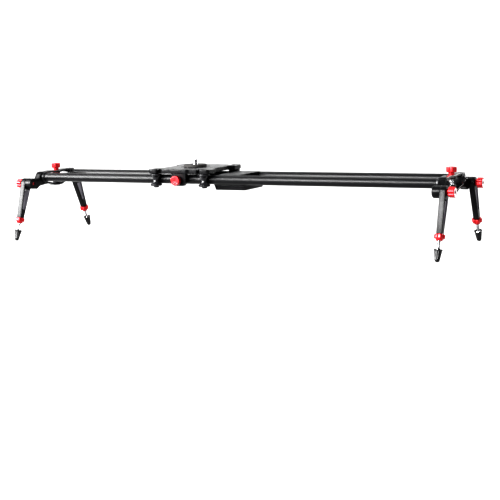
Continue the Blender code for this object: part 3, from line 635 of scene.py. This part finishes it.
def knob_head(neck_radius, neck, length, socket, depth):
    """Upper part of a knob's profile, from its neck to the bottom of its socket."""
    dish = 0.0004
    return rounded([
        (neck_radius, -0.01), (neck_radius, 0.0, 0.0003), (neck_radius + 0.0004, neck, 0.0003),
        (KNOB_RADIUS, neck + 0.0006, 0.0010), (KNOB_RADIUS, length, 0.0010),
        (KNOB_RADIUS - 0.0022, length, 0.0003), (KNOB_RADIUS - 0.0026, length - dish, 0.0003),
        (socket + 0.0007, length - dish, 0.0002), (socket, length - dish - 0.0004),
        (socket, length - depth), (0.0, length - depth),
    ])[1:]


def cap_screw(low, head, shank, radius, height, socket, depth):
    """Cap screw about Z: shank from low up to its head, with a socket in the head."""
    top = head + height
    profile = rounded([
        (0.0, low), (shank - 0.0004, low), (shank, low + 0.0004), (shank, head), (radius, head, 0.0002),
        (radius, top, 0.0005), (socket + 0.0004, top, 0.0001), (socket, top - 0.0004),
        (socket, top - depth), (0.0, top - depth),
    ])
    return turned(profile, MEDIUM, shape=socketed(socket))


def drum(radius, low, high, low_edge, high_edge, steps=FINE):
    """Round bar about Z with rounded rims."""
    corners = [(0.0, low), (radius, low, low_edge), (radius, high, high_edge), (0.0, high)]
    return turned(rounded(corners), steps)


# ---------- rail


def weave_uv(piece):
    """Count the weave's tows along and around a tube that lies about Z."""
    mesh = piece.data
    layer = mesh.uv_layers.new(name="weave")
    for face in mesh.polygons:
        home = atan2(face.center.y, face.center.x)
        for loop in face.loop_indices:
            point = mesh.vertices[mesh.loops[loop].vertex_index].co
            turn = (atan2(point.y, point.x) - home + pi) % (2 * pi) - pi + home
            around = turn * TOWS_AROUND / (2 * pi) + TOWS_AROUND
            layer.data[loop].uv = (point.z / TOW_WIDTH + 2000, around)
    return piece


def make_tubes():
    """Woven tubes with a small chamfer at each end."""
    inner = TUBE_RADIUS - TUBE_WALL
    end = TUBE_HALF_LENGTH
    for side in ("front", "back"):
        profile = rounded([
            (TUBE_RADIUS, -end, 0.0003), (TUBE_RADIUS, end, 0.0003), (inner, end, 0.0003),
            (inner, -end, 0.0003),
        ])
        name = side + "_tube"
        where = shift(y=middle(name).y, z=RAIL_Z) @ ALONG_X
        tube = weave_uv(turned(profile, 128, closed=True))
        add(tube, name, "rail", "carbon_fibre", CARBON, matrix=where)


def bridge_height(y):
    """Top of the bracket's arch: highest near the sockets, lower in the middle."""
    share = min(abs(y) / (TUBE_SPACING / 2), 1.0)
    return BRIDGE_TOP + BRIDGE_RISE * sin(pi * share) ** 2 * share ** 0.5


def end_bracket():
    """Sockets with turned collars, joined by an arched bridge with a seat for the thumbscrew."""
    half = TUBE_SPACING / 2
    socket_profile = rounded([
        (0.0, BRACKET_INNER_X), (SOCKET_RADIUS - 0.0009, BRACKET_INNER_X, 0.0004),
        (SOCKET_RADIUS, BRACKET_INNER_X + 0.004, 0.0008), (SOCKET_RADIUS, BRACKET_OUTER_X, 0.0011),
        (0.0, BRACKET_OUTER_X),
    ])
    steps = 60
    reach = half - 0.002
    ys = [-reach + 2 * reach * i / steps for i in range(steps + 1)]
    outline = [(y, bridge_height(y)) for y in reversed(ys)]
    outline += [(y, bridge_height(y) - BRIDGE_THICKNESS) for y in ys]
    bridge = prism(outline, BRACKET_INNER_X + 0.0026, BRACKET_OUTER_X - 0.0012, 0.0007)
    transform(bridge, ALONG_X)
    boss = transform(drum(BOSS_RADIUS, 0.0035, BOSS_SEAT, 0.0006, 0.0004), shift(x=BRACKET_CENTRE_X))
    sockets = [transform(turned(socket_profile), shift(y=side * half) @ ALONG_X) for side in (-1, 1)]
    body = boolean(bridge, [boss, *sockets], "UNION")
    recess = rod(BOSS_RADIUS - 0.0013, BOSS_SEAT, BOSS_SEAT + 0.01, BRACKET_CENTRE_X)
    cutters = [recess, rod(STUD_HOLE, -0.02, 0.03, BRACKET_CENTRE_X)]
    groove_floor, past = BRACKET_OUTER_X - 0.0005, BRACKET_OUTER_X + 0.01
    for side in (-1, 1):
        bore = rod(TUBE_RADIUS + GAP / 2, BRACKET_INNER_X - 0.01, TUBE_HALF_LENGTH + GAP)
        hole = rod(STUD_HOLE, TUBE_HALF_LENGTH - 0.005, past)
        cutters += [transform(tool, shift(y=side * half) @ ALONG_X) for tool in (bore, hole)]
        # Shallow face groove round each tube screw
        ring = [(0.0072, groove_floor), (0.0078, groove_floor), (0.0078, past), (0.0072, past)]
        groove = turned(ring, MEDIUM, closed=True)
        cutters.append(transform(groove, shift(y=side * half) @ ALONG_X))
    return boolean(body, cutters, "DIFFERENCE")


def yoke_arm(side):
    """One side of the yoke: from the centre boss, under the socket, to the barrel."""
    corners = [
        (0.004, -0.0142), (0.006, YOKE_BOTTOM + 0.0004), (0.0105, YOKE_BOTTOM + 0.0004, 0.002),
        (0.019, -0.0152, 0.006), (0.029, -0.0131, 0.006), (0.046, -0.0142, 0.006),
        (0.057, -0.0152, 0.008), (0.066, -0.0203, 0.004), (0.0752, -0.0186), (0.0752, -0.0004),
        (0.066, -0.0012, 0.003), (0.0585, -0.0022, 0.004), (0.053, 0.0062, 0.003),
        (0.0478, 0.0104, 0.001), (0.0455, 0.0096), (0.042, 0.0), (0.036, -0.0096, 0.002),
        (0.028, -0.0101, 0.004), (0.0185, -0.0122, 0.004), (0.0105, -0.0142),
    ]
    edge = 0.0006
    arm = transform(prism(rounded(corners, 6), YOKE_INNER_X + edge, YOKE_OUTER_X - edge, edge), ALONG_X)
    return transform(arm, MIRROR_Y) if side < 0 else arm


def leg_yoke():
    """Cradle under the sockets, with a boss for the thumbscrew and a barrel for each leg."""
    boss = transform(drum(BOSS_RADIUS, YOKE_BOTTOM, -0.006, 0.0008, 0.001), shift(x=BRACKET_CENTRE_X))
    bevel = 0.0015
    barrel_profile = rounded([
        (0.0, YOKE_INNER_X), (BARREL_RADIUS - bevel, YOKE_INNER_X, 0.0003),
        (BARREL_RADIUS, YOKE_INNER_X + bevel, 0.0006), (BARREL_RADIUS, YOKE_OUTER_X, 0.0003),
        (0.0, YOKE_OUTER_X),
    ])
    parts = [yoke_arm(-1), yoke_arm(1)]
    for side in (-1, 1):
        parts.append(transform(turned(barrel_profile), shift(y=side * PIVOT_Y, z=-PIVOT_DROP) @ ALONG_X))
    cutters = [rod(STUD_HOLE, -0.0165, 0.01, BRACKET_CENTRE_X)]
    for side in (-1, 1):
        low, high = YOKE_INNER_X - 0.01, YOKE_OUTER_X + 0.01
        hole = rod(STUD_HOLE, low, high)
        cutters.append(transform(hole, shift(y=side * PIVOT_Y, z=-PIVOT_DROP) @ ALONG_X))
        nest = rod(SOCKET_RADIUS + GAP, low, high, steps=FINE)
        cutters.append(transform(nest, shift(y=side * TUBE_SPACING / 2) @ ALONG_X))
    return boolean(boolean(boss, parts, "UNION"), cutters, "DIFFERENCE")


def tube_screw():
    """Button-head screw with a hexagonal socket."""
    head = BRACKET_OUTER_X + GAP
    radius, height, socket = BUTTON_RADIUS, BUTTON_HEIGHT, BUTTON_SOCKET
    dome = [(radius - radius * (1 - cos(t)) * 0.46, head + height * sin(t)) for t in (0.25, 0.6, 0.95, 1.3)]
    low, floor = TUBE_HALF_LENGTH - 0.02, head + 0.001
    profile = [(0.0, low), (STUD_RADIUS, low), (STUD_RADIUS, head), (radius, head), *dome]
    profile += [(0.0022, head + height), (socket, head + 0.0026), (socket, floor), (0.0, floor)]
    return transform(turned(profile, MEDIUM, shape=socketed(socket)), ALONG_X)


def make_ends():
    """Brackets, yokes, tube screws and thumbscrews of both ends."""
    base = shift(z=RAIL_Z)
    for name, flip in (("left", MIRROR_X), ("right", Matrix.Identity(4))):
        add(end_bracket(), name + "_end_bracket", "rail", "black_anodised", CAST, matrix=base @ flip)
        add(leg_yoke(), name + "_leg_yoke", "rail", "black_anodised", BLACK, matrix=base @ flip)
        for row in ("front", "back"):
            node_name = f"{name}_{row}_tube_screw"
            where = shift(y=middle(node_name).y, z=RAIL_Z) @ flip
            add(tube_screw(), node_name, "rail", "black_steel", BLACK_STEEL, matrix=where)
        body = name + "_thumbscrew"
        x = middle(body).x
        foot = shift(x=x, z=RAIL_Z + BOSS_SEAT + GAP)
        bore = STUD_RADIUS + GAP
        socket = 0.0030
        head = knob_head(0.0046, 0.0048, 0.0136, socket, 0.003)
        profile = [(0.0, 0.009), (bore, 0.009), (bore, 0.0), *head]
        knob = turned(profile, shape=socketed(socket, LOBES))
        add(knob, body, body, "red_anodised", RED, matrix=foot)
        stud = threaded_rod(STUD_RADIUS, -0.0162, BOSS_SEAT + 0.0086)
        where = shift(x=x, z=RAIL_Z)
        add(stud, body + "_stud", body, "steel", STEEL, matrix=where, angle=THREAD_ANGLE)


def threaded(radius, low, high, pitch=THREAD_PITCH):
    """Profile of a rod with enough rows for a thread of that pitch."""
    rows = int((high - low) / pitch * 6)
    profile = [(0.0, low), (radius - 0.0005, low)]
    profile += [(radius, low + 0.0004 + (high - low - 0.0008) * i / rows) for i in range(rows + 1)]
    return profile + [(radius - 0.0005, high), (0.0, high)]


def thread(radius, pitch=THREAD_PITCH, depth=THREAD_DEPTH):
    """Helical thread cut into the rows at a radius."""

    def shape(reach, height, angle):
        if reach < radius:
            return reach, height
        turn = (height / pitch - angle / (2 * pi)) % 1.0
        return reach - depth * abs(2 * turn - 1), height

    return shape


def threaded_rod(radius, low, high, pitch=THREAD_PITCH, depth=THREAD_DEPTH):
    """Threaded rod about Z."""
    return turned(threaded(radius, low, high, pitch), MEDIUM, shape=thread(radius, pitch, depth))


# ---------- legs


def leg_half_depth(distance):
    """Half the leg's depth at a distance below the pivot."""
    lean = asin((BARREL_RADIUS - LEG_FOOT_HALF_DEPTH) / LEG_LENGTH)
    return (BARREL_RADIUS - distance * sin(lean)) / cos(lean)


def leg_panel(top, bottom, rim, radius):
    """Rounded four-sided outline inside the leg, as (depth, height) points."""
    wide = leg_half_depth(top) - rim
    narrow = leg_half_depth(bottom) - rim
    corners = [(-narrow, -bottom), (narrow, -bottom), (wide, -top), (-wide, -top)]
    return rounded([(u, v, radius) for u, v in corners], 5)


def leg():
    """Tapered leg with rounded rims, blasted pockets on both sides and a window under the ear."""
    foot = leg_half_depth(LEG_LENGTH)
    outline = arc((0, 0), BARREL_RADIUS, 0, 180, 48)
    sole = [(-foot, -LEG_LENGTH, 0.0008), (foot, -LEG_LENGTH, 0.0008), (0.01, 0.02), (-0.01, 0.02)]
    outline += rounded(sole)[:10]
    half = LEG_WIDTH / 2
    body = transform(prism(outline, -half, half, 0.0007), ALONG_X)
    floor = half - LEG_POCKET_DEPTH
    panel = leg_panel(WINDOW_TOP, 0.050, LEG_RIM, 0.0012)
    pockets = [transform(prism(panel, low, low + 0.01), ALONG_X) for low in (floor, -floor - 0.01)]
    window = leg_panel(WINDOW_TOP + 0.0001, WINDOW_TOP + WINDOW_HEIGHT, LEG_RIM + 0.0006, 0.0008)
    cutters = [
        *(second_finish(pocket) for pocket in pockets),
        transform(plain_prism(window, -0.02, 0.02), ALONG_X),
        transform(rod(STUD_HOLE, -0.02, 0.02), ALONG_X),
        rod(SHANK_HOLE, -LEG_LENGTH - 0.01, ROD_TOP_LIMIT),
    ]
    body.data.materials.append(BLACK)
    body.data.materials.append(POCKET)
    return boolean(body, cutters, "DIFFERENCE")


def leg_knob():
    """Fluted clamp knob on its stud, with a bare turned face."""
    reach = LEG_WIDTH + 2 * GAP + YOKE_OUTER_X - YOKE_INNER_X - 0.001
    profile = [(0.0, -reach), (STUD_RADIUS - 0.0004, -reach), (STUD_RADIUS, 0.0004 - reach)]
    length, socket = 0.0125, 0.0027
    profile += [(STUD_RADIUS, 0.0), *knob_head(0.0054, 0.0022, length, socket, 0.0028)]
    knob = turned(profile, shape=socketed(socket, LOBES))
    for face in knob.data.polygons:
        bare = socket + 0.0001 < face.center.xy.length < 0.0062
        if bare and face.center.z > length - 0.0005:
            face.material_index = 1
    return knob


def lock_nut():
    """Fluted nut on the foot rod, with a cone below it."""
    bore = SHANK_HOLE
    top = -LEG_LENGTH - GAP
    profile = rounded([
        (bore, -NUT_BOTTOM, 0.0003), (0.0046, -NUT_BOTTOM, 0.0005),
        (0.0062, -NUT_BOTTOM + 0.0032, 0.0003), (KNOB_RADIUS, -NUT_BOTTOM + 0.0034, 0.0009),
        (KNOB_RADIUS, top, 0.0009), (bore, top, 0.0003),
    ])
    return turned(profile, closed=True, shape=socketed(0.0, LOBES))


def foot_rod():
    """Threaded chrome rod with a flange and a spike."""
    radius = SHANK_RADIUS
    foot = [(0.0, -0.1025), (0.0005, -0.1023), (0.0025, -0.0940), (0.0051, -0.0929), (0.0051, -0.0920)]
    profile = foot + [(radius - 0.0001, -0.0898)] + threaded(radius, -0.0895, -ROD_TOP)[2:]
    return turned(profile, MEDIUM, shape=thread(radius, depth=0.00018))


def ribs(radius, height, angle):
    """Ribs down the boot's wall, and notches in its rim."""
    wave = 0.5 - 0.5 * cos(12 * angle)
    below_lip = min(max((-BOOT_TOP - 0.0018 - height) / 0.0012, 0.0), 1.0)
    above_sole = min(max((height + 0.1085) / 0.003, 0.0), 1.0)
    outside = 1.0 if radius > 0.0042 and height < -0.0914 else 0.0
    notch = min(max(0.5 - 2.2 * cos(6 * angle) - 0.9, 0.0), 1.0) * 0.0013
    rim = notch if height > -BOOT_TOP - 0.0004 else 0.0
    return radius - 0.00045 * wave * below_lip * above_sole * outside, height - rim


def foot_boot():
    """Ribbed rubber cup with a flared, notched lip and a round sole."""
    profile = [(0.0, -BALL_DISTANCE - BALL_RADIUS)]
    for degrees in (6, 13, 20.2, 32, 45, 58, 72):
        angle = radians(degrees)
        profile.append((BALL_RADIUS * sin(angle), -BALL_DISTANCE - BALL_RADIUS * cos(angle)))
    start = profile[-1]
    end = (BOOT_RADIUS - 0.0004, -BOOT_TOP - 0.0022)
    for i in range(1, 12):
        share = i / 12
        profile.append((start[0] + (end[0] - start[0]) * share, start[1] + (end[1] - start[1]) * share))
    profile += [
        end,
        (BOOT_RADIUS, -BOOT_TOP - 0.0012), (BOOT_RADIUS, -BOOT_TOP - 0.0003),
        (BOOT_RADIUS - 0.0002, -BOOT_TOP), (BOOT_RADIUS - 0.0008, -BOOT_TOP),
        (0.0057, -BOOT_TOP - 0.0003), (0.0055, -0.0912), (0.0055, -0.0932), (0.0029, -0.0944),
        (0.0009, -0.1027), (0.0, -0.1030),
    ]
    return turned(profile, shape=ribs)


def make_legs():
    """Four legs with their knobs, rods, boots and nuts."""
    centre_x = YOKE_OUTER_X + GAP + LEG_WIDTH / 2
    for end, side_x in (("left", -1), ("right", 1)):
        for row, side_y in (("front", -1), ("back", 1)):
            name = f"{end}_{row}"
            tilt = Matrix.Rotation(side_y * LEG_SPLAY, 4, "X")
            pivot = shift(side_x * centre_x, side_y * PIVOT_Y, RAIL_Z - PIVOT_DROP) @ tilt
            body = name + "_leg"
            add(leg(), body, body, "black_anodised", BLACK, POCKET, matrix=pivot)
            outward = ALONG_X if side_x > 0 else MIRROR_X @ ALONG_X
            knob_place = pivot @ shift(side_x * (LEG_WIDTH / 2 + GAP)) @ outward
            body = name + "_leg_knob"
            add(leg_knob(), body, body, "red_anodised", RED, BARE, matrix=knob_place)
            body = name + "_foot"
            add(foot_rod(), body + "_rod", body, "chrome", CHROME, matrix=pivot, angle=THREAD_ANGLE)
            add(foot_boot(), body + "_boot", body, "black_rubber", RUBBER, matrix=pivot)
            body = name + "_lock_nut"
            add(lock_nut(), body, body, "red_anodised", RED, matrix=pivot)


# ---------- tripod support


def support_outline():
    """Section of the tripod support, whose top grips the tubes from inside and below."""
    half = TUBE_SPACING / 2
    grip = arc((half, 0), TUBE_RADIUS + GAP, 260, 188, 16)
    corners = [(SUPPORT_HALF_WIDTH, SUPPORT_BOTTOM, 0.0008), (SUPPORT_HALF_WIDTH, -0.0125, 0.001)]
    corners += [(grip[0][0], -0.0105, 0.0006)]
    mirrored = [(-u, v, r) for u, v, r in reversed(corners)]
    steps = 4
    joined = rounded(corners + [(0.0, 0.0)] + mirrored, steps)
    cut = len(corners) * (steps + 1)
    return joined[:cut] + grip + [(-u, v) for u, v in reversed(grip)] + joined[cut + 1 :]


def clamp_bar_outline():
    """Section of the clamp bar, which grips the tubes from inside and above."""
    half = TUBE_SPACING / 2
    grip = arc((half, 0), TUBE_RADIUS + GAP, 176, 110, 16)
    right = [*grip, (grip[-1][0] - 0.0003, CLAMP_BAR_TOP - 0.0002), (grip[-1][0] - 0.0006, CLAMP_BAR_TOP)]
    return right + [(-u, v) for u, v in reversed(right)]


def make_support():
    """Tripod support, its clamp bar and screws."""
    block = prism(support_outline(), -SUPPORT_HALF_LENGTH, SUPPORT_HALF_LENGTH, 0.0008)
    bar = prism(clamp_bar_outline(), -CLAMP_BAR_HALF_LENGTH, CLAMP_BAR_HALF_LENGTH, 0.0006)
    for piece in (block, bar):
        transform(piece, ALONG_X)
    low, high = SUPPORT_BOTTOM - 0.001, SUPPORT_BOTTOM + 0.0095
    block_cutters = [threaded_rod(TRIPOD_THREAD_RADIUS, low, high, TRIPOD_THREAD_PITCH, 0.0004)]
    bar_cutters = []
    for x in (-CLAMP_SCREW_X, CLAMP_SCREW_X):
        block_cutters.append(rod(SHANK_HOLE, -0.0125, 0.02, x))
        bar_cutters += [rod(SHANK_HOLE, -0.02, 0.02, x), rod(0.0046, 0.0038, 0.02, x)]
    where = shift(x=SUPPORT_X, z=RAIL_Z)
    both = (("tripod_support", block, block_cutters), ("support_clamp_bar", bar, bar_cutters))
    for name, piece, cutters in both:
        boolean(piece, cutters, "DIFFERENCE")
        add(piece, name, "rail", "black_anodised", BLACK, matrix=where)
    for label, side in (("left", -1), ("right", 1)):
        screw = cap_screw(-0.012, 0.0041, SHANK_RADIUS, 0.0043, height=0.0042, socket=0.002, depth=0.0023)
        where = shift(x=SUPPORT_X + side * CLAMP_SCREW_X, z=RAIL_Z)
        add(screw, label + "_clamp_screw", "rail", "black_steel", BLACK_STEEL, matrix=where)


# ---------- carriage


def plate_outline():
    """Plan of the carriage plate: corner arms, narrow notches, a centre tab and waisted sides."""
    length = PLATE_HALF_LENGTH
    width = PLATE_HALF_WIDTH
    quarter = [
        (length - 0.010, 0.026, 0.006), (length, 0.034, 0.004), (length, width, 0.006),
        (0.043, width, 0.003), (0.043, 0.050, 0.0034), (0.036, 0.050, 0.0034), (0.036, 0.058, 0.002),
        (0.0205, 0.058, 0.002), (0.016, width, 0.002),
    ]
    right = quarter + [(-x, y, r) for x, y, r in reversed(quarter)]
    return rounded(right + [(-x, -y, r) for x, y, r in right], 8)


def axle_places():
    """The four roller axles, as (name, x, y) from the carriage's centre."""
    rows = (("front", -ROLLER_Y), ("back", ROLLER_Y))
    ends = (("left", -ROLLER_X), ("right", ROLLER_X))
    return [(f"{row}_{end}", x, y) for row, y in rows for end, x in ends]


def brake_screw_places():
    """The two screws that hang the brake block from the plate."""
    return [(x, (BRAKE_OUTER_Y + BRAKE_INNER_Y) / 2) for x in (-0.0098, 0.0098)]


def carriage_plate():
    """Machined plate with a turned recess round the pad, corner reliefs and spacer bosses."""
    plate = prism(plate_outline(), PLATE_BOTTOM, PLATE_TOP, 0.0009, 4)
    spacer_low = ROLLER_HALF_HEIGHT - BEARING_INSET + GAP
    places = axle_places()
    boolean(plate, [rod(0.004, spacer_low, 0.013, x, y) for _, x, y in places], "UNION")
    low, high = PLATE_BOTTOM - 0.01, PLATE_TOP + 0.01
    head_room = rod(CAMERA_HEAD_RADIUS + GAP, low, PLATE_BOTTOM + 0.0035, steps=FINE)
    cutters = [rod(CAMERA_THREAD_RADIUS + GAP, low, high), head_room]
    ring = [(0.0225, PLATE_TOP - 0.0007), (0.0262, PLATE_TOP - 0.0007), (0.0268, high), (0.0219, high)]
    cutters.append(turned(ring, closed=True))
    for _, x, y in places:
        seat = [(0.0, PLATE_TOP - 0.0012), (0.0052, PLATE_TOP - 0.0012), (0.0058, high), (0.0, high)]
        cutters += [rod(SHANK_HOLE, low, high, x, y), transform(turned(seat, MEDIUM), shift(x, y))]
    for x, y in brake_screw_places():
        cutters += [rod(0.0019, low, high, x, y), rod(0.0033, PLATE_TOP - 0.0034, high, x, y)]
    return boolean(plate, cutters, "DIFFERENCE")


def roller():
    """U-groove roller with rounded flanges and bearing seats."""
    wrap = radians(68)
    reach = ROLLER_GROOVE_RADIUS * sin(wrap)
    offset = ROLLER_Y - TUBE_SPACING / 2
    flange, half = ROLLER_FLANGE_RADIUS, ROLLER_HALF_HEIGHT
    seat, bore = BEARING_RADIUS + GAP / 3, SLEEVE_RADIUS + GAP
    seat_floor = half - BEARING_INSET - BEARING_WIDTH - GAP
    heights = [ROLLER_GROOVE_RADIUS * sin(wrap * i / 12) for i in range(-12, 13)]
    groove = [(offset - sqrt(ROLLER_GROOVE_RADIUS ** 2 - z * z), z) for z in heights]
    rim = [(seat, -half), (flange, -half, 0.0008)]
    rim += [(flange, -reach - 0.0001, 0.0002), (flange - 0.002, -reach)]
    low_rim = rounded(rim)[1:-1]
    high_rim = [(r, -z) for r, z in reversed(low_rim)]
    chamfer = 0.0003
    inside = [(seat + chamfer, half), (seat, half - chamfer), (seat, seat_floor), (bore, seat_floor)]
    inside += [(r, -z) for r, z in reversed(inside)]
    return turned(low_rim + groove + high_rim + inside, FINE, closed=True)


def roller_bearings():
    """Two bearings on one sleeve, each with its shield sunk between its rings."""
    high = ROLLER_HALF_HEIGHT - BEARING_INSET
    low = high - BEARING_WIDTH
    inner = SHANK_RADIUS + GAP / 3
    upper = rounded([
        (SLEEVE_RADIUS, low), (BEARING_RADIUS, low, 0.0002), (BEARING_RADIUS, high, 0.0002),
        (0.0044, high), (0.0044, high - 0.0003), (0.0034, high - 0.0003), (0.0034, high), (inner, high),
    ])
    lower = [(r, -z) for r, z in reversed(upper)]
    return turned(lower + upper, MEDIUM, closed=True)


def roller_axle():
    """Shoulder bolt with a low socket head under its roller."""
    head_top = -ROLLER_HALF_HEIGHT - GAP
    profile = rounded([
        (0.0, head_top - 0.0012), (0.0016, head_top - 0.0012), (0.0016, head_top - 0.0025),
        (0.0018, head_top - 0.0027), (0.0048, head_top - 0.0027, 0.0006), (0.0048, head_top, 0.0002),
        (SHANK_RADIUS, head_top), (SHANK_RADIUS, PLATE_TOP - 0.0009),
        (SHANK_RADIUS - 0.0003, PLATE_TOP - 0.0006), (0.0, PLATE_TOP - 0.0006),
    ])
    return turned(profile, MEDIUM, shape=socketed(0.0018))


def camera_screw():
    """Camera stud with a thread and a wide head under the plate."""
    radius, wide, socket = CAMERA_THREAD_RADIUS, CAMERA_HEAD_RADIUS, CAMERA_SOCKET
    low = PLATE_BOTTOM + 0.0004
    head = [(0.0, low + 0.0014), (socket, low + 0.0014), (socket, low), (wide - 0.0003, low)]
    head += [(wide, low + 0.0003), (wide, low + 0.0028), (radius - 0.0004, low + 0.0028)]
    profile = head + threaded(radius, low + 0.0032, CAMERA_STUD_TOP, CAMERA_THREAD_PITCH)[2:]
    grooves, hollow = thread(radius, CAMERA_THREAD_PITCH, 0.0005), socketed(socket)

    def shape(reach, height, angle):
        in_head = reach > radius + 0.001 or height < low + 0.003
        return (hollow if in_head else grooves)(reach, height, angle)

    return turned(profile, MEDIUM, shape=shape)


def camera_pad():
    """Round pad with fine ring grooves in its top."""
    bore = CAMERA_THREAD_RADIUS + GAP
    low = PLATE_TOP + GAP
    spacing, cut = 0.0022, 0.0003
    profile = [(bore, low, 0.0002), (PAD_RADIUS, low, 0.0005), (PAD_RADIUS, PAD_TOP, 0.0007)]
    for i in range(6):
        reach = PAD_RADIUS - spacing - spacing * i
        profile += [(reach, PAD_TOP), (reach - cut, PAD_TOP - cut)]
        profile += [(reach - 2 * cut, PAD_TOP - cut), (reach - 3 * cut, PAD_TOP)]
    return turned(rounded([*profile, (bore, PAD_TOP)]), FINE, closed=True)


def brake_block():
    """Block under the plate's front tab, with chamfered lower corners."""
    half = BRAKE_HALF_LENGTH
    top = PLATE_BOTTOM - GAP
    cut = 0.0055
    corners = [
        (BRAKE_BOTTOM, half - cut, 0.0006), (BRAKE_BOTTOM + cut, half, 0.0006), (top, half, 0.0004),
        (top, -half, 0.0004), (BRAKE_BOTTOM + cut, -half, 0.0006), (BRAKE_BOTTOM, -half + cut, 0.0006),
    ]
    block = transform(prism(rounded(corners)[::-1], BRAKE_OUTER_Y, BRAKE_INNER_Y, 0.0005), ALONG_Y)
    past = BRAKE_INNER_Y + 0.01
    hole = rod(SHANK_HOLE, BRAKE_OUTER_Y - 0.01, past)
    chamber = rod(BRAKE_PAD_RADIUS + GAP, BRAKE_INNER_Y - 0.0035, past)
    cutters = [transform(tool, ALONG_Y) for tool in (hole, chamber)]
    cutters += [rod(0.0019, top - 0.0075, top + 0.01, x, y) for x, y in brake_screw_places()]
    return boolean(block, cutters, "DIFFERENCE")


def make_brake(base):
    """Brake block, its screws, and the knob, screw and pad that clamp the carriage."""
    add(brake_block(), "brake_block", "carriage", "black_anodised", BLACK, matrix=base)
    low, head = PLATE_BOTTOM - 0.0072, PLATE_TOP - 0.0031
    for (x, y), label in zip(brake_screw_places(), ("left", "right")):
        screw = cap_screw(low, head, shank=0.0016, radius=0.0029, height=0.0027, socket=0.0013, depth=0.0014)
        name = label + "_brake_block_screw"
        add(screw, name, "carriage", "black_steel", BLACK_STEEL, matrix=base @ shift(x, y))
    outward = base @ shift(y=BRAKE_OUTER_Y - GAP) @ MIRROR_Y @ ALONG_Y
    bore, socket = SHANK_RADIUS + GAP, 0.0022
    profile = [(0.0, 0.0088), (bore, 0.0088), (bore, 0.0), *knob_head(0.005, 0.0024, 0.0119, socket, 0.0016)]
    knob = turned(profile, 128, shape=socketed(socket, KNURLS))
    add(knob, "brake_knob", "brake_knob", "red_anodised", RED, matrix=outward)
    pad_front = -TUBE_SPACING / 2 - TUBE_RADIUS - BRAKE_PAD_GAP
    pad_back = BRAKE_INNER_Y - 0.0026
    pad = drum(BRAKE_PAD_RADIUS, pad_back, pad_front, 0.0003, 0.0004, MEDIUM)
    add(pad, "brake_pad", "brake_pad", "black_rubber", RUBBER, matrix=base @ ALONG_Y)
    tip = BRAKE_OUTER_Y - GAP - (pad_back - 0.0008)
    screw = threaded_rod(SHANK_RADIUS, tip, 0.0084)
    add(screw, "brake_screw", "brake_knob", "steel", STEEL, matrix=outward, angle=THREAD_ANGLE)


def make_carriage():
    """The carriage, its rollers and its brake."""
    base = shift(CARRIAGE_X, 0, RAIL_Z)
    add(carriage_plate(), "carriage_plate", "carriage", "black_anodised", PLATE, matrix=base)
    add(camera_pad(), "camera_pad", "carriage", "black_rubber", CORK, matrix=base)
    add(camera_screw(), "camera_screw", "carriage", "steel", STEEL, matrix=base, angle=THREAD_ANGLE)
    for name, x, y in axle_places():
        place = base @ shift(x, y)
        body = name + "_roller"
        add(roller(), body, body, "roller_nylon", ACETAL, matrix=place)
        add(roller_bearings(), body + "_bearings", body, "steel", STEEL, matrix=place)
        add(roller_axle(), body + "_axle", "carriage", "black_steel", BLACK_STEEL, matrix=place)
    make_brake(base)


# ---------- camera, floor and light


def make_camera():
    """Long-lens camera a little above the rail and to its right."""
    yaw, pitch, roll = (radians(turn) for turn in (CAMERA_YAW, CAMERA_PITCH, CAMERA_ROLL))
    ahead = Vector((-sin(yaw) * cos(pitch), cos(yaw) * cos(pitch), -sin(pitch)))
    right = Vector((cos(yaw), sin(yaw), 0.0))
    up = right.cross(ahead)
    across = right * cos(roll) + up * sin(roll)
    upright = up * cos(roll) - right * sin(roll)
    made = bpy.data.objects.new("camera", bpy.data.cameras.new("camera"))
    bpy.context.collection.objects.link(made)
    made.data.lens = CAMERA_LENS
    made.data.clip_start = 0.05
    axes = Matrix((across, upright, -ahead)).transposed().to_4x4()
    x, y, z = CAMERA_PLACE
    made.matrix_world = shift(x, y, z + RAIL_Z) @ axes
    bpy.context.scene.camera = made


def soft_light(name, place, target, width, height, power):
    """Rectangular soft light that faces a target."""
    data = bpy.data.lights.new(name, "AREA")
    data.shape = "RECTANGLE"
    data.size, data.size_y = width, height
    data.energy = power
    made = bpy.data.objects.new(name, data)
    bpy.context.collection.objects.link(made)
    made.location = place
    made.rotation_euler = (Vector(target) - Vector(place)).to_track_quat("-Z", "Y").to_euler()


def make_studio():
    """Pale, faintly glowing floor that sweeps up into a backdrop, and soft lights around the slider."""
    reach, back, lift, sweep = 30.0, 3.2, 3.0, 0.8
    section = [(-reach, 0.0), *arc((back - sweep, sweep), sweep, -90, 0, 9), (back, lift)]
    points = [(x, y, z) for x in (-reach, reach) for y, z in section]
    count = len(section)
    faces = [[i, i + count, i + count + 1, i + 1] for i in range(count - 1)]
    cove = mesh_object(points, faces)
    cove.name = "studio_cove"
    cove.data.shade_smooth()
    made, tree, shader = new_material(
        "pale_cove", Roughness=0.9, Specular_IOR_Level=0.1,
        Emission_Color=grey(1.0), Emission_Strength=FLOOR_GLOW,
    )
    tone = blend(tree, noise(tree, 3.0, 2.0), grey(0.155), grey(0.17))
    connect(tree, tone, shader.inputs["Base Color"])
    cove.data.materials.append(made)
    for light in LIGHTS:
        soft_light(*light)
    world = bpy.data.worlds.new("studio")
    bpy.context.scene.world = world
    world.use_nodes = True
    background = world.node_tree.nodes["Background"]
    background.inputs["Color"].default_value = grey(1.0)
    background.inputs["Strength"].default_value = WORLD_STRENGTH
    bpy.context.scene.view_settings.view_transform = "Standard"
    bpy.context.scene.view_settings.look = "High Contrast"


make_tubes()
make_ends()
make_legs()
make_support()
make_carriage()
make_camera()
make_studio()
